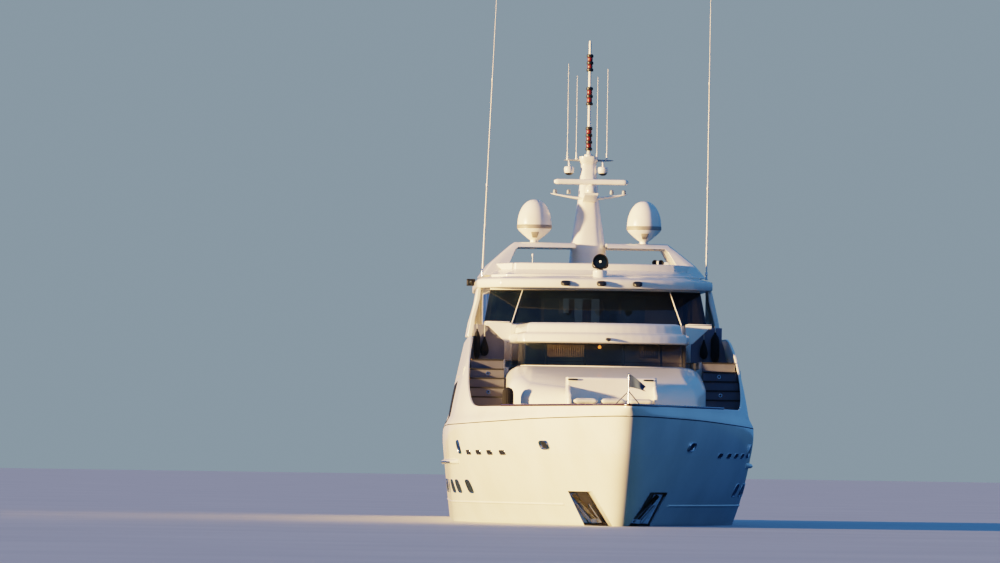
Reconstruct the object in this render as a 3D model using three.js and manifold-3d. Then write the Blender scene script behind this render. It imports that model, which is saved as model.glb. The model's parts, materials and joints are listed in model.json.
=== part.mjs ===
// Motor yacht, 37 m, raised wheelhouse with foredeck stairs on both sides.
// Millimetres. +Z up, bow towards -Y, +X to port, origin amidships on the waterline.
import * as THREE from 'three';
import { mergeVertices } from 'three/addons/utils/BufferGeometryUtils.js';
import Module from 'manifold-3d';

const wasm = await Module();
wasm.setup();

// Driving dimensions: stations s are measured aft from the tip of the bow
const MIDSHIP_STATION = 18500;
const HULL_END = 34200;
const PLATFORM_END = 37000;
const DECK = 1800;
const GAP = 0.3;
const WALL = 160;
const UPPER_DECK = 4250;
const UPPER_DECK_THICKNESS = 200;
const UPPER_DECK_END = 30000;
const ROOF_UNDERSIDE = 6200;
const ROOF_TOP = 6560;
const STEM_AT_WATERLINE = 3400;
const STEM_TOP_HEIGHT = 2950;
const FOREFOOT_DEPTH = 1500;
const RUN_START = 20000;
const RUN_RISE = 800;
const ENTRY_POWER = 1.5;
// Beyond the yacht on every side, for cutting shapes
const FAR = 40000;
const HIGH = 20000;

const place = (s) => s - MIDSHIP_STATION;
const clamp01 = (v) => Math.min(1, Math.max(0, v));
const smooth = (a, b, v) => {
  const t = clamp01((v - a) / (b - a));
  return t * t * (3 - 2 * t);
};

// Piecewise straight line through a table of [where, value] rows
function along(table, v) {
  if (v <= table[0][0]) return table[0][1];
  for (let i = 1; i < table.length; i++) {
    const [v1, w1] = table[i];
    const [v0, w0] = table[i - 1];
    if (v <= v1) return w0 + (w1 - w0) * (v - v0) / (v1 - v0);
  }
  return table[table.length - 1][1];
}

// Closed geometry to a solid for cutting and joining, turned right side out
function solid(geometry) {
  const bare = geometry.clone();
  bare.deleteAttribute('normal');
  bare.deleteAttribute('uv');
  const merged = mergeVertices(bare, 0.01);
  const index = merged.index.array;
  const kept = [];
  for (let i = 0; i < index.length; i += 3) {
    const [a, b, c] = [index[i], index[i + 1], index[i + 2]];
    if (a !== b && b !== c && c !== a) kept.push(a, b, c);
  }
  const make = (tris) => new wasm.Manifold(new wasm.Mesh({
    numProp: 3,
    vertProperties: new Float32Array(merged.attributes.position.array),
    triVerts: new Uint32Array(tris)
  }));
  const first = make(kept);
  if (first.volume() > 0) return first;
  const turned = [];
  for (let i = 0; i < kept.length; i += 3) turned.push(kept[i], kept[i + 2], kept[i + 1]);
  return make(turned);
}

function geometryOf(manifold) {
  const mesh = manifold.getMesh();
  const geometry = new THREE.BufferGeometry();
  geometry.setAttribute('position', new THREE.BufferAttribute(new Float32Array(mesh.vertProperties), 3));
  geometry.setIndex(new THREE.BufferAttribute(new Uint32Array(mesh.triVerts), 1));
  return geometry;
}

const joined = (first, ...rest) => rest.reduce((sum, part) => sum.add(part), first);
const mirrored = (manifold) => manifold.mirror([1, 0, 0]);
const bothSides = (manifold) => manifold.add(mirrored(manifold));

// Skin over rings of the same number of points, closed at both ends
function loft(rings) {
  const count = rings[0].length;
  const points = rings.flat();
  const tris = [];
  for (let i = 0; i + 1 < rings.length; i++) {
    for (let j = 0; j < count; j++) {
      const a = i * count + j;
      const b = i * count + (j + 1) % count;
      tris.push(a, b, b + count, a, b + count, a + count);
    }
  }
  for (const [at, flip] of [[0, true], [rings.length - 1, false]]) {
    for (const [a, b, c] of capOf(rings[at])) {
      const base = at * count;
      if (flip) tris.push(base + a, base + c, base + b);
      else tris.push(base + a, base + b, base + c);
    }
  }
  const geometry = new THREE.BufferGeometry();
  geometry.setAttribute('position', new THREE.BufferAttribute(new Float32Array(points.flat()), 3));
  geometry.setIndex(tris);
  return solid(geometry);
}

// Triangles of a flat ring, seen along the axis in which it is thinnest
function capOf(ring) {
  const spread = [0, 1, 2].map((k) => {
    const values = ring.map((p) => p[k]);
    return Math.max(...values) - Math.min(...values);
  });
  const thin = spread.indexOf(Math.min(...spread));
  const [u, v] = [[1, 2], [2, 0], [0, 1]][thin];
  if (Math.min(spread[u], spread[v]) < 1) return [];
  const flat = ring.map((p) => new THREE.Vector2(p[u], p[v]));
  if (THREE.ShapeUtils.isClockWise(flat)) {
    const back = THREE.ShapeUtils.triangulateShape(flat.slice().reverse(), []);
    const last = ring.length - 1;
    return back.map(([a, b, c]) => [last - a, last - c, last - b]);
  }
  return THREE.ShapeUtils.triangulateShape(flat, []);
}

// Box from its low and high corners, x, station and height
function block(x0, x1, s0, s1, z0, z1) {
  const box = new THREE.BoxGeometry(x1 - x0, s1 - s0, z1 - z0);
  box.translate((x0 + x1) / 2, place((s0 + s1) / 2), (z0 + z1) / 2);
  return solid(box);
}

// Upright wall or block between a bottom and a top outline of [x, s] points
function upright(bottom, z0, top, z1) {
  return loft([bottom.map(([x, s]) => [x, place(s), z0]), top.map(([x, s]) => [x, place(s), z1])]);
}

// Bar of a side-view outline of [s, z] points, between two x values
function sideCut(outline, x0, x1) {
  return loft([x0, x1].map((x) => outline.map(([s, z]) => [x, place(s), z])));
}

// Bar of a front-view outline of [x, z] points, between two stations
function frontCut(outline, s0, s1) {
  return loft([s0, s1].map((s) => outline.map(([x, z]) => [x, place(s), z])));
}

// Outline with rounded corners, [u, v] points
function roundedOutline(u0, u1, v0, v1, radius, steps = 4) {
  const corners = [[u1 - radius, v1 - radius, 0], [u0 + radius, v1 - radius, 90],
    [u0 + radius, v0 + radius, 180], [u1 - radius, v0 + radius, 270]];
  return corners.flatMap(([u, v, start]) => {
    const arc = [];
    for (let i = 0; i <= steps; i++) {
      const angle = THREE.MathUtils.degToRad(start + 90 * i / steps);
      arc.push([u + radius * Math.cos(angle), v + radius * Math.sin(angle)]);
    }
    return arc;
  });
}

// Turned piece: profile of [radius, height] points closed on its axis, standing at x, s, z
function turned(profile, x, s, z, sides = 16) {
  const shape = new THREE.LatheGeometry(profile.map(([r, h]) => new THREE.Vector2(r, h)), sides);
  shape.rotateX(Math.PI / 2);
  shape.translate(x, place(s), z);
  return solid(shape);
}

// Round bar between two points given as [x, s, z]
function rod(from, to, radius0, radius1 = radius0, sides = 8) {
  const a = new THREE.Vector3(from[0], place(from[1]), from[2]);
  const b = new THREE.Vector3(to[0], place(to[1]), to[2]);
  const bar = new THREE.CylinderGeometry(radius1, radius0, a.distanceTo(b), sides);
  const turn = new THREE.Quaternion().setFromUnitVectors(
    new THREE.Vector3(0, 1, 0), b.clone().sub(a).normalize());
  bar.applyQuaternion(turn);
  bar.translate((a.x + b.x) / 2, (a.y + b.y) / 2, (a.z + b.z) / 2);
  return solid(bar);
}

// Hull form: where the stem is at a height, and the half-breadth at a station and height
function stemStation(z) {
  if (z >= 0) return STEM_AT_WATERLINE * Math.pow(clamp01(1 - z / STEM_TOP_HEIGHT), 1.15);
  const slope = STEM_AT_WATERLINE * 1.15 / STEM_TOP_HEIGHT;
  const reach = 8500 - STEM_AT_WATERLINE - slope * FOREFOOT_DEPTH;
  return STEM_AT_WATERLINE - slope * z + reach * Math.pow(z / FOREFOOT_DEPTH, 2);
}
// Rows: height, greatest half-breadth, station where it is reached
const BREADTH = [[0, 3720], [930, 3850], [1570, 3930], [2300, 4000], [2900, 3930], [4900, 3480]];
const FULL_AT = [[0, 16500], [930, 14600], [2300, 13200], [4900, 13000]];
const TAPER_START = 15000;
const TAPER = 0.155;

const draft = (s) => FOREFOOT_DEPTH - RUN_RISE * Math.pow(clamp01((s - RUN_START) / (HULL_END - RUN_START)), 1.5);
const aftTaper = (s) => 1 - TAPER * Math.pow(clamp01((s - TAPER_START) / (HULL_END - TAPER_START)), 1.1);

// Share of the waterline's breadth left at a depth fraction u, sharp forward and full aft
function bottomShare(s, u) {
  const full = smooth(4000, 16000, s);
  return (1 - full) * Math.pow(1 - u, 0.9) + full * Math.pow(1 - Math.pow(u, 2.4), 0.6);
}
function halfBreadth(s, z) {
  const start = stemStation(z);
  const full = along(FULL_AT, z);
  const t = clamp01((s - start) / (full - start));
  return along(BREADTH, z) * (1 - Math.pow(1 - t, ENTRY_POWER)) * aftTaper(s);
}

// Places along the hull as fractions from the stem to the transom
const FRACTIONS = [0, 0.012, 0.03, 0.06, 0.1, 0.15, 0.2, 0.26, 0.32, 0.38, 0.45, 0.6, 0.75, 0.88, 1];

// Whole closed volume of the hull form, offset inwards, between rows of heights
function hullVolume(heights, inset = 0) {
  const rings = FRACTIONS.map((fraction) => {
    const side = heights.map((z) => {
      const start = stemStation(z) + inset * 2.2;
      const s = start + (HULL_END - start) * fraction;
      const step = 50;
      const slope = (halfBreadth(s + step, z) - halfBreadth(s - step, z)) / (2 * step);
      const x = Math.max(0, halfBreadth(s, z) - inset * Math.sqrt(1 + slope * slope));
      return [fraction === 0 ? 0 : x, place(s), z];
    });
    return [...side, ...side.slice().reverse().map(([, y, z]) => [0, y, z])];
  });
  return bothSides(loft(rings));
}

// Underwater body: rows are fractions of the local draft
const DEPTHS = [1, 0.9, 0.7, 0.4, 0];
const HULL_HEIGHTS = [0, 450, 930, 1570, DECK];
function hullBody() {
  const rings = FRACTIONS.map((fraction) => {
    const below = DEPTHS.slice(0, -1).map((u) => {
      const start = stemStation(-u * FOREFOOT_DEPTH);
      const s = start + (HULL_END - start) * fraction;
      const full = along(FULL_AT, 0) + 1500 * u;
      const t = clamp01((s - start) / (full - start));
      const wide = along(BREADTH, 0) * (1 - Math.pow(1 - t, ENTRY_POWER)) * aftTaper(s);
      const x = fraction === 0 || u === 1 ? 0 : wide * bottomShare(s, u);
      return [x, place(s), -u * draft(s)];
    });
    const above = HULL_HEIGHTS.map((z) => {
      const start = stemStation(z);
      const s = start + (HULL_END - start) * fraction;
      return [fraction === 0 ? 0 : halfBreadth(s, z), place(s), z];
    });
    const side = [...below, ...above];
    return [...side, [0, side[side.length - 1][1], DECK]];
  });
  return bothSides(loft(rings));
}

// Hull: solid decked body with rub rail, keel, anchor pockets, garage and hatch coaming
const RUB_HEIGHT = [1500, 1640];
const RUB_START = 10000;
const GARAGE = { half: 1300, s0: 31200, low: 650, high: 1650 };
// Front-view corners of the port anchor pocket: x, z
const POCKET = [[200, 0], [830, 0], [1260, 860], [740, 860]];
const POCKET_BACK = 5950;
const HATCH = { half: 350, s0: 4300, s1: 5000, coaming: 120, wall: 50, lid: 50, wellDepth: 400 };
const RUDDER = { x: 1600, s: 32300, top: -1080, bottom: -1950, stock: 50, stockTop: -520, half: 60,
  holeFoot: -1400, clearance: 10 };
const TRANSOM = { s0: 33950, gateHalf: 1500, top: 2750 };
const KEEL_HALF = 110;
const KEEL_LINE = [[8600, -1400], [10500, -1750], [28500, -1750], [29500, -900], [12000, -900]];
const RUB_DEPTH = 110;
// How far a piece that joins another reaches into it
const BITE = 50;

function hull() {
  const rub = hullVolume(RUB_HEIGHT, -RUB_DEPTH)
    .intersect(block(-FAR, FAR, RUB_START, HULL_END, RUB_HEIGHT[0] - 1, RUB_HEIGHT[1] + 1));
  const keel = sideCut(KEEL_LINE, -KEEL_HALF, KEEL_HALF);
  const pocket = frontCut(POCKET, 1000, POCKET_BACK);
  const garage = block(-GARAGE.half, GARAGE.half, GARAGE.s0, HULL_END + BITE, GARAGE.low, GARAGE.high);
  const well = block(-HATCH.half + HATCH.wall, HATCH.half - HATCH.wall,
    HATCH.s0 + HATCH.wall, HATCH.s1 - HATCH.wall, DECK - HATCH.wellDepth, HIGH);
  const coaming = block(-HATCH.half, HATCH.half, HATCH.s0, HATCH.s1, DECK - BITE, DECK + HATCH.coaming).subtract(well);
  const holeRadius = RUDDER.stock + RUDDER.clearance;
  const rudderHole = rod([RUDDER.x, RUDDER.s, RUDDER.holeFoot], [RUDDER.x, RUDDER.s, RUDDER.stockTop + GAP],
    holeRadius, holeRadius, 20);
  const transom = block(-TRANSOM.gateHalf, TRANSOM.gateHalf, TRANSOM.s0, HULL_END, DECK - BITE, TRANSOM.top);
  return joined(hullBody(), rub, keel)
    .subtract(joined(pocket, mirrored(pocket), garage, well, rudderHole, mirrored(rudderHole)))
    .add(coaming).add(transom);
}

// Topsides: bulwark forward, full-height side wall amidships, coaming aft
const CAP_LINE = [[-500, 3000], [9800, 3000], [10600, 3120], [11600, 3620], [12600, 4280], [13500, 4720],
  [14400, 4880], [15500, 4900], [27500, 4900], [28200, 4700], [29600, 3300], [30300, 2850], [31000, 2750],
  [35000, 2750]];
// Saloon windows: first and last station; then their low and high edges
const SALOON_WINDOWS = [[16300, 18700], [19100, 21500], [21900, 24300], [24700, 27100]];
const SALOON_SILL = 2600;
const SALOON_HEAD = 3700;
const WINDOW_RADIUS = 250;
// Openings in the sides are cut from this half width outwards
const WINDOW_FROM = 2500;
const GATE = { s0: 31400, s1: 32300, low: DECK + 60, pivot: 3320 };
const WALL_HEIGHTS = [DECK + GAP, 2300, 2900, 4900, 5000];
const INNER_HEIGHTS = [DECK - 100, 2300, 2900, 4900, 5200];

function topsides(side) {
  const shell = hullVolume(WALL_HEIGHTS).subtract(hullVolume(INNER_HEIGHTS, WALL));
  const [first, last] = [CAP_LINE[0][0], CAP_LINE[CAP_LINE.length - 1][0]];
  const air = sideCut([...CAP_LINE, [last, HIGH], [first, HIGH]], -FAR, FAR);
  let wall = shell.subtract(air).intersect(block(GAP / 2, FAR, first, last, 0, HIGH));
  for (const [s0, s1] of SALOON_WINDOWS) {
    const opening = roundedOutline(s0, s1, SALOON_SILL, SALOON_HEAD, WINDOW_RADIUS);
    wall = wall.subtract(sideCut(opening, WINDOW_FROM, FAR));
  }
  wall = wall.subtract(block(WINDOW_FROM, FAR, GATE.s0, GATE.s1, GATE.low, HIGH));
  return side > 0 ? wall : mirrored(wall);
}

const GLASS = 24;
// How far the saloon's glass reaches past its windows
const REBATE = 100;
const INSIDE = hullVolume(INNER_HEIGHTS, WALL + GAP);
function saloonGlass(side) {
  const pane = INSIDE.subtract(hullVolume(INNER_HEIGHTS, WALL + GAP + GLASS));
  const reach = block(WINDOW_FROM, FAR, SALOON_WINDOWS[0][0] - REBATE, SALOON_WINDOWS[3][1] + REBATE,
    SALOON_SILL - REBATE, SALOON_HEAD + REBATE);
  const port = pane.intersect(reach);
  return side > 0 ? port : mirrored(port);
}

// Plan outline of a house: curved front, corner, shoulder and aft end, port and starboard
function houseOutline(plan, inset = 0) {
  const { front, corner, cornerWidth, shoulder, shoulderWidth, aft, aftWidth } = plan;
  const { waist = (shoulder + aft) / 2, waistWidth = (shoulderWidth + aftWidth) / 2 } = plan;
  const arc = [-1, -0.75, -0.5, -0.25, 0, 0.25, 0.5, 0.75, 1].map((k) => {
    const x = k * (cornerWidth - inset * 0.6);
    return [x, front + inset + (corner - front) * k * k];
  });
  const side = [[shoulderWidth - inset, shoulder + inset * 0.4], [waistWidth - inset, waist],
    [aftWidth - inset, aft - inset]];
  return [...side.slice().reverse().map(([x, s]) => [-x, s]), ...arc, ...side];
}

// Trunk: rounded coachroof whose top slopes up to the lower windows' sill
const SILL = 4080;
const TRUNK = { front: 8500, corner: 9300, cornerWidth: 2250, shoulder: 10400, shoulderWidth: 2580,
  aft: 15500, aftWidth: 2500 };
const TRUNK_WALL = 80;
const TRUNK_CEILING = 100;
const TRUNK_SLOPE = [[8000, 3283], [11750, SILL]];
const TRUNK_DOOR = { half: 500, depth: 200, high: 3900 };
const BULKHEAD = [12860, 12990];

function insideHull(z0, z1, s0, s1) {
  return INSIDE.intersect(block(-FAR, FAR, s0, s1, z0, z1));
}

// Space under the trunk's sloping top, inset from its outline and lowered from its top
function trunkVolume(inset, drop) {
  const outline = houseOutline(TRUNK, inset);
  const [[s0, z0], [s1, z1]] = TRUNK_SLOPE;
  const slope = sideCut([[s0, z0 - drop], [s1, z1 - drop], [s1, HIGH], [s0, HIGH]], -FAR, FAR);
  return upright(outline, DECK + GAP, outline, SILL).subtract(slope);
}
function foredeckTrunk() {
  const wall = insideHull(DECK + GAP, UPPER_DECK - UPPER_DECK_THICKNESS - GAP, ...BULKHEAD);
  const doorway = block(-TRUNK_DOOR.half, TRUNK_DOOR.half, TRUNK.aft - TRUNK_DOOR.depth, TRUNK.aft + BITE,
    DECK, TRUNK_DOOR.high);
  const roomPlan = houseOutline(ROOM_LOW, ROOM_WALL);
  const roomHole = upright(roomPlan, SILL - 2 * TRUNK_CEILING, roomPlan, SILL + BITE);
  return trunkVolume(0, 0).add(wall).subtract(joined(trunkVolume(TRUNK_WALL, TRUNK_CEILING), doorway, roomHole));
}

// Foredeck lounge: moulded seat raised on the front of the trunk, with sloping arms and three steps up to it
const SETTEE = { half: 1160, s0: 7250, seat: 3080, high: 3780, backTop: 160, backFoot: 280, lip: 60, lipDrop: 250,
  arm: 100, armFrom: 200, armFront: 3200, cushion: 150 };
const LOUNGE_STEP = { half: 350, tread: 270, rise: 320, count: 3 };
function foredeckSettee() {
  const back = TRUNK.front - GAP;
  const foot = DECK + GAP;
  const { half, s0, seat, high } = SETTEE;
  const body = sideCut([[s0 + SETTEE.lip, foot], [back, foot], [back, high], [back - SETTEE.backTop, high],
    [back - SETTEE.backFoot, seat], [s0, seat], [s0, seat - SETTEE.lipDrop]], -half, half);
  const arm = sideCut([[s0 + SETTEE.armFrom, foot], [back, foot], [back, high], [back - SETTEE.backTop, high],
    [s0 + SETTEE.armFrom, SETTEE.armFront]], half - SETTEE.arm, half);
  const steps = [];
  for (let i = 1; i <= LOUNGE_STEP.count; i++) {
    const out = (LOUNGE_STEP.count + 1 - i) * LOUNGE_STEP.tread;
    steps.push(block(-LOUNGE_STEP.half, LOUNGE_STEP.half, s0 - out, s0 + SETTEE.lip + BITE,
      foot, DECK + i * LOUNGE_STEP.rise));
  }
  return joined(body, arm, mirrored(arm), ...steps);
}

function setteeCushion() {
  const half = SETTEE.half - SETTEE.arm - 10;
  return block(-half, half, SETTEE.s0 + 20, TRUNK.front - SETTEE.backFoot - 20,
    SETTEE.seat + GAP, SETTEE.seat + SETTEE.cushion);
}

// Side stairs up from the foredeck to the upper side deck
const STAIR = { inner: 2600, risers: 10, top: 12840, tread: 300 };
function stairs(side) {
  const rise = (UPPER_DECK - DECK) / STAIR.risers;
  const outline = [[STAIR.top, DECK + GAP]];
  for (let i = STAIR.risers; i > 0; i--) {
    const back = STAIR.top - (STAIR.risers - i) * STAIR.tread;
    outline.push([back, DECK + i * rise], [back - STAIR.tread, DECK + i * rise]);
  }
  outline.push([STAIR.top - STAIR.risers * STAIR.tread, DECK + GAP]);
  const flight = sideCut(outline, STAIR.inner, FAR);
  const port = flight.intersect(insideHull(DECK + GAP, UPPER_DECK, 9000, STAIR.top));
  return side > 0 ? port : mirrored(port);
}

// Upper deck: slab between the side walls, open over the forward room
function upperDeck() {
  const slab = insideHull(UPPER_DECK - UPPER_DECK_THICKNESS, UPPER_DECK, BULKHEAD[0], UPPER_DECK_END);
  const notch = upright(houseOutline(TRUNK, -GAP), DECK, houseOutline(TRUNK, -GAP), HIGH);
  return slab.subtract(notch);
}

// Forward room: low walls with a wrap-round window band, and its stepped visor roof
const ROOM_LOW = { front: 11760, corner: 12300, cornerWidth: 2060, shoulder: 12900, shoulderWidth: 2180,
  aft: 15500 - GAP, aftWidth: 2290 };
const ROOM_HIGH = { ...ROOM_LOW, front: 11900, corner: 12440, cornerWidth: 2010, shoulder: 13000 };
const ROOM_TOP = 4700;
const ROOM_WALL = 70;
const ROOM_WINDOWS = { frontTo: 12950, s0: 13200, s1: 14900, flankFrom: 2000 };
// Wall of a house between two insets of its outline
function houseRing(low, z0, high, z1, inset0, inset1) {
  return upright(houseOutline(low, inset0), z0, houseOutline(high, inset0), z1)
    .subtract(upright(houseOutline(low, inset1), z0, houseOutline(high, inset1), z1));
}

function forwardRoom() {
  const shell = houseRing(ROOM_LOW, SILL + GAP, ROOM_HIGH, ROOM_TOP, 0, ROOM_WALL);
  const band = [SILL + 40, ROOM_TOP - 30];
  const front = block(-FAR, FAR, 0, ROOM_WINDOWS.frontTo, ...band);
  const flank = block(ROOM_WINDOWS.flankFrom, FAR, ROOM_WINDOWS.s0, ROOM_WINDOWS.s1, ...band);
  return shell.subtract(joined(front, flank, mirrored(flank)));
}

function forwardRoomGlass() {
  return houseRing(ROOM_LOW, SILL + GAP, ROOM_HIGH, ROOM_TOP, ROOM_WALL + GAP, ROOM_WALL + GAP + GLASS)
    .intersect(block(-FAR, FAR, 0, ROOM_WINDOWS.s1 + REBATE, SILL + 20, ROOM_TOP - 20));
}

const VISOR = { front: 11480, corner: 12000, cornerWidth: 2130, shoulder: 12600, shoulderWidth: 2260,
  aft: 15500, aftWidth: 2390 };
// Rows of the visor's two tiers: inset from its outline and height
const VISOR_ROWS = [[0, ROOM_TOP + GAP], [0, 4860], [60, 4945], [150, 4970], [185, 5000], [230, 5170], [330, 5230]];
function visorRoof() {
  const rings = VISOR_ROWS.map(([inset, z]) => houseOutline(VISOR, inset).map(([x, s]) => [x, place(s), z]));
  return loft(rings).intersect(block(-FAR, FAR, 0, HOUSE_FLOOR.front - GAP, DECK, HIGH));
}

// Wheelhouse: raked window band over a lower wall, with a sliding door on each side
const HOUSE_FLOOR = { front: 15500, corner: 15600, cornerWidth: 2500, shoulder: 16500, shoulderWidth: 2980,
  waist: 17300, waistWidth: 2720, aft: 24000, aftWidth: 2720 };
const HOUSE_SILL = { ...HOUSE_FLOOR, corner: 15850, cornerWidth: 2270 };
const HOUSE_HEAD = { ...HOUSE_FLOOR, front: 16000, corner: 16350, cornerWidth: 1950, shoulder: 16850,
  shoulderWidth: 2800 };
const HOUSE_WALL = 90;
const SILL_HIGH = 5230;
const DOOR = { s0: 17500, s1: 18200, low: UPPER_DECK + GAP, high: 6050, thick: 40, gap: 8 };
// Half widths of the windscreen and of the posts beside it, at sill and head, and where the wrap panes end
const WINDSCREEN = { s0: 15000, s1: 16900, half: 2190, headHalf: 1890, post: 2330, headPost: 2050,
  wrapTo: 16700, headWrapTo: 17000 };
const SIDE_WINDOWS = [[19300, 21300], [21700, 23400]];
const FLANK_FROM = 2300;
function wheelhouse() {
  const lower = houseRing(HOUSE_FLOOR, UPPER_DECK + GAP, HOUSE_SILL, SILL_HIGH, 0, HOUSE_WALL);
  const upper = houseRing(HOUSE_SILL, SILL_HIGH, HOUSE_HEAD, ROOF_UNDERSIDE - GAP, 0, HOUSE_WALL);
  const band = [SILL_HIGH + 40, ROOF_UNDERSIDE - 60];
  const { half, headHalf, post, headPost, wrapTo, headWrapTo } = WINDSCREEN;
  const windscreen = frontCut([[-half, band[0]], [half, band[0]], [headHalf, band[1]], [-headHalf, band[1]]],
    WINDSCREEN.s0, WINDSCREEN.s1);
  const wrap = loft([[post, wrapTo, band[0]], [headPost, headWrapTo, band[1]]].map(([x, s, z]) =>
    [[x, WINDSCREEN.s0], [FAR, WINDSCREEN.s0], [FAR, s], [x, s]].map(([u, v]) => [u, place(v), z])));
  const doorway = block(FLANK_FROM, FAR, DOOR.s0 + 40, DOOR.s1 - 40, DOOR.low + 60, DOOR.high - 40);
  const flank = joined(doorway, ...SIDE_WINDOWS.map(([s0, s1]) =>
    sideCut(roundedOutline(s0, s1, band[0], band[1], 160), FLANK_FROM, FAR)));
  const aftDoorway = block(-500, 500, HOUSE_FLOOR.aft - 500, HOUSE_FLOOR.aft + 500, UPPER_DECK + 40, 6100);
  return lower.add(upper)
    .subtract(joined(windscreen, wrap, flank, mirrored(wrap), mirrored(flank), aftDoorway));
}

function wheelhouseGlass() {
  return houseRing(HOUSE_SILL, SILL_HIGH, HOUSE_HEAD, ROOF_UNDERSIDE - GAP,
    HOUSE_WALL + GAP, HOUSE_WALL + GAP + GLASS)
    .intersect(block(-FAR, FAR, WINDSCREEN.s0, 17200, SILL_HIGH + 10, ROOF_UNDERSIDE - 30));
}

// Roof: slab with a rounded brow, rising to a coaming round the flying bridge
const ROOF = { front: 15280, corner: 15900, cornerWidth: 2600, shoulder: 17000, shoulderWidth: 3150,
  aft: 24700, aftWidth: 3050 };
const COAMING = { front: 16800, corner: 17150, cornerWidth: 2150, shoulder: 18100, shoulderWidth: 2610,
  waist: 18150, waistWidth: 2612, aft: 24500, aftWidth: 2650 };
// Foot of the slope between brow and coaming
const SLOPE_FOOT = { front: 15450, corner: 16000, cornerWidth: 2500, shoulder: 16950, shoulderWidth: 2820,
  waist: 17450, waistWidth: 2650, aft: 24550, aftWidth: 2650 };
const COAMING_TOP = 6900;
const COAMING_WALL = 130;
const STAIRWELL = { half: 500, s0: 22900, s1: 23800 };
function roof() {
  const slab = upright(houseOutline(ROOF), ROOF_UNDERSIDE, houseOutline(ROOF, 50), ROOF_TOP);
  const slope = upright(houseOutline(SLOPE_FOOT), ROOF_TOP, houseOutline(COAMING), COAMING_TOP);
  const wellPlan = houseOutline(COAMING, COAMING_WALL);
  const well = upright(wellPlan, ROOF_TOP, wellPlan, HIGH);
  const stairWell = block(-STAIRWELL.half, STAIRWELL.half, STAIRWELL.s0, STAIRWELL.s1, UPPER_DECK, HIGH);
  return joined(slab, slope, searchlightPost()).subtract(well).subtract(stairWell);
}

// Side wings: raked plates that carry the roof's edge from the side walls
const WING = [[16900, 4900 + GAP], [18500, 4900 + GAP], [18100, 6200 - GAP], [17100, 6200 - GAP]];
function wing(side) {
  const plate = loft([[3250, 3010], [3390, 3130]].map((pair) => WING.map(([s, z]) => {
    const x = pair[0] + (pair[1] - pair[0]) * smooth(4900, 6200, z);
    return [x, place(s), z];
  })));
  return side > 0 ? plate : mirrored(plate);
}

// Radar arch: front-view outline of [x, z] points, leaning aft, with the mast's trunk through its beam
const ARCH = { front: 17500, frontLean: 1.9, back: 21500, backLean: -0.3, top: 7500 };
const TRUNK_ROWS = [[ROOF_TOP + GAP, 545, 19850, 21700], [7500, 455, 20160, 21610]];
const fairingLoft = (rows) => loft(rows.map(([z, half, s0, s1]) =>
  roundedOutline(-half, half, s0, s1, half * 0.7, 3).map(([x, s]) => [x, place(s), z])));
function arch() {
  const outer = [[2980, ROOF_TOP + GAP], [2740, COAMING_TOP + GAP], [2150, 7430], [2060, ARCH.top]];
  const inner = [[2651, ROOF_TOP + GAP], [2651, COAMING_TOP + GAP], [2080, COAMING_TOP + GAP], [1800, 7350]];
  const left = ([x, z]) => [-x, z];
  const outline = [...outer, ...outer.slice().reverse().map(left), ...inner.map(left), ...inner.slice().reverse()];
  const legs = loft([[ARCH.front, ARCH.frontLean], [ARCH.back, ARCH.backLean]].map(([s, lean]) =>
    outline.map(([x, z]) => [x, place(s + (z - ROOF_TOP) * lean), z])));
  return legs.add(fairingLoft(TRUNK_ROWS));
}

// Mast: tapering fairing rows of height, half width, front and aft stations
const MAST_TOP = 9900;
const MAST_ROWS = [[ARCH.top + GAP, 455, 20160, 21610], [8680, 285, 20650, 21500],
  [9690, 205, 20960, 21420], [9800, 255, 20900, 21480], [MAST_TOP, 255, 20900, 21480]];
const SPREADER = { z: 8780, half: 1050, s: 20800 };
const RADAR = { s: 19700, z: 9090, half: 1000, depth: 110, thick: 100 };
const CROSSTREE = { z: 9800, half: 680, s: 21150 };
const POLE = { s: 21190, foot: MAST_TOP + GAP };
const MAST_WHIPS = [[-670, 12420], [-430, 12100], [220, 12060], [490, 12300]];
function mast() {
  const fairing = fairingLoft(MAST_ROWS);
  const spreader = frontCut([[-SPREADER.half, SPREADER.z + 110], [-SPREADER.half, SPREADER.z + 70],
    [-400, SPREADER.z - 60], [400, SPREADER.z - 60], [SPREADER.half, SPREADER.z + 70],
    [SPREADER.half, SPREADER.z + 110], [400, SPREADER.z + 10], [-400, SPREADER.z + 10]],
  SPREADER.s - 130, SPREADER.s + 130);
  const shelf = sideCut([[RADAR.s - 200, RADAR.z - 290], [RADAR.s + 200, RADAR.z - 330], [20900, RADAR.z - 480],
    [20900, RADAR.z - 230], [RADAR.s - 200, RADAR.z - 230]], -180, 180);
  const pedestal = turned([[0, -231], [150, -231], [150, -60], [110, -20], [0, -20]], 0, RADAR.s, RADAR.z, 16);
  const tree = block(-CROSSTREE.half, CROSSTREE.half, CROSSTREE.s - 40, CROSSTREE.s + 40,
    CROSSTREE.z - 30, CROSSTREE.z + 30);
  const whips = MAST_WHIPS.map(([x, top]) => rod([x, CROSSTREE.s, CROSSTREE.z], [x, CROSSTREE.s, top], 16, 8, 6));
  return joined(fairing, spreader, shelf, pedestal, tree, ...whips);
}
function mastPole() {
  const pole = turned([[0, 0], [120, 0], [120, 60], [42, 90], [34, 3150], [0, 3150]], 0, POLE.s, POLE.foot, 10);
  const lamps = [[200, 780], [1430, 1860], [2350, 2750]].map(([low, high]) =>
    turned([[0, low], [90, low], [90, high], [0, high]], 0, POLE.s, POLE.foot, 10));
  return joined(pole, ...lamps);
}
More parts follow.
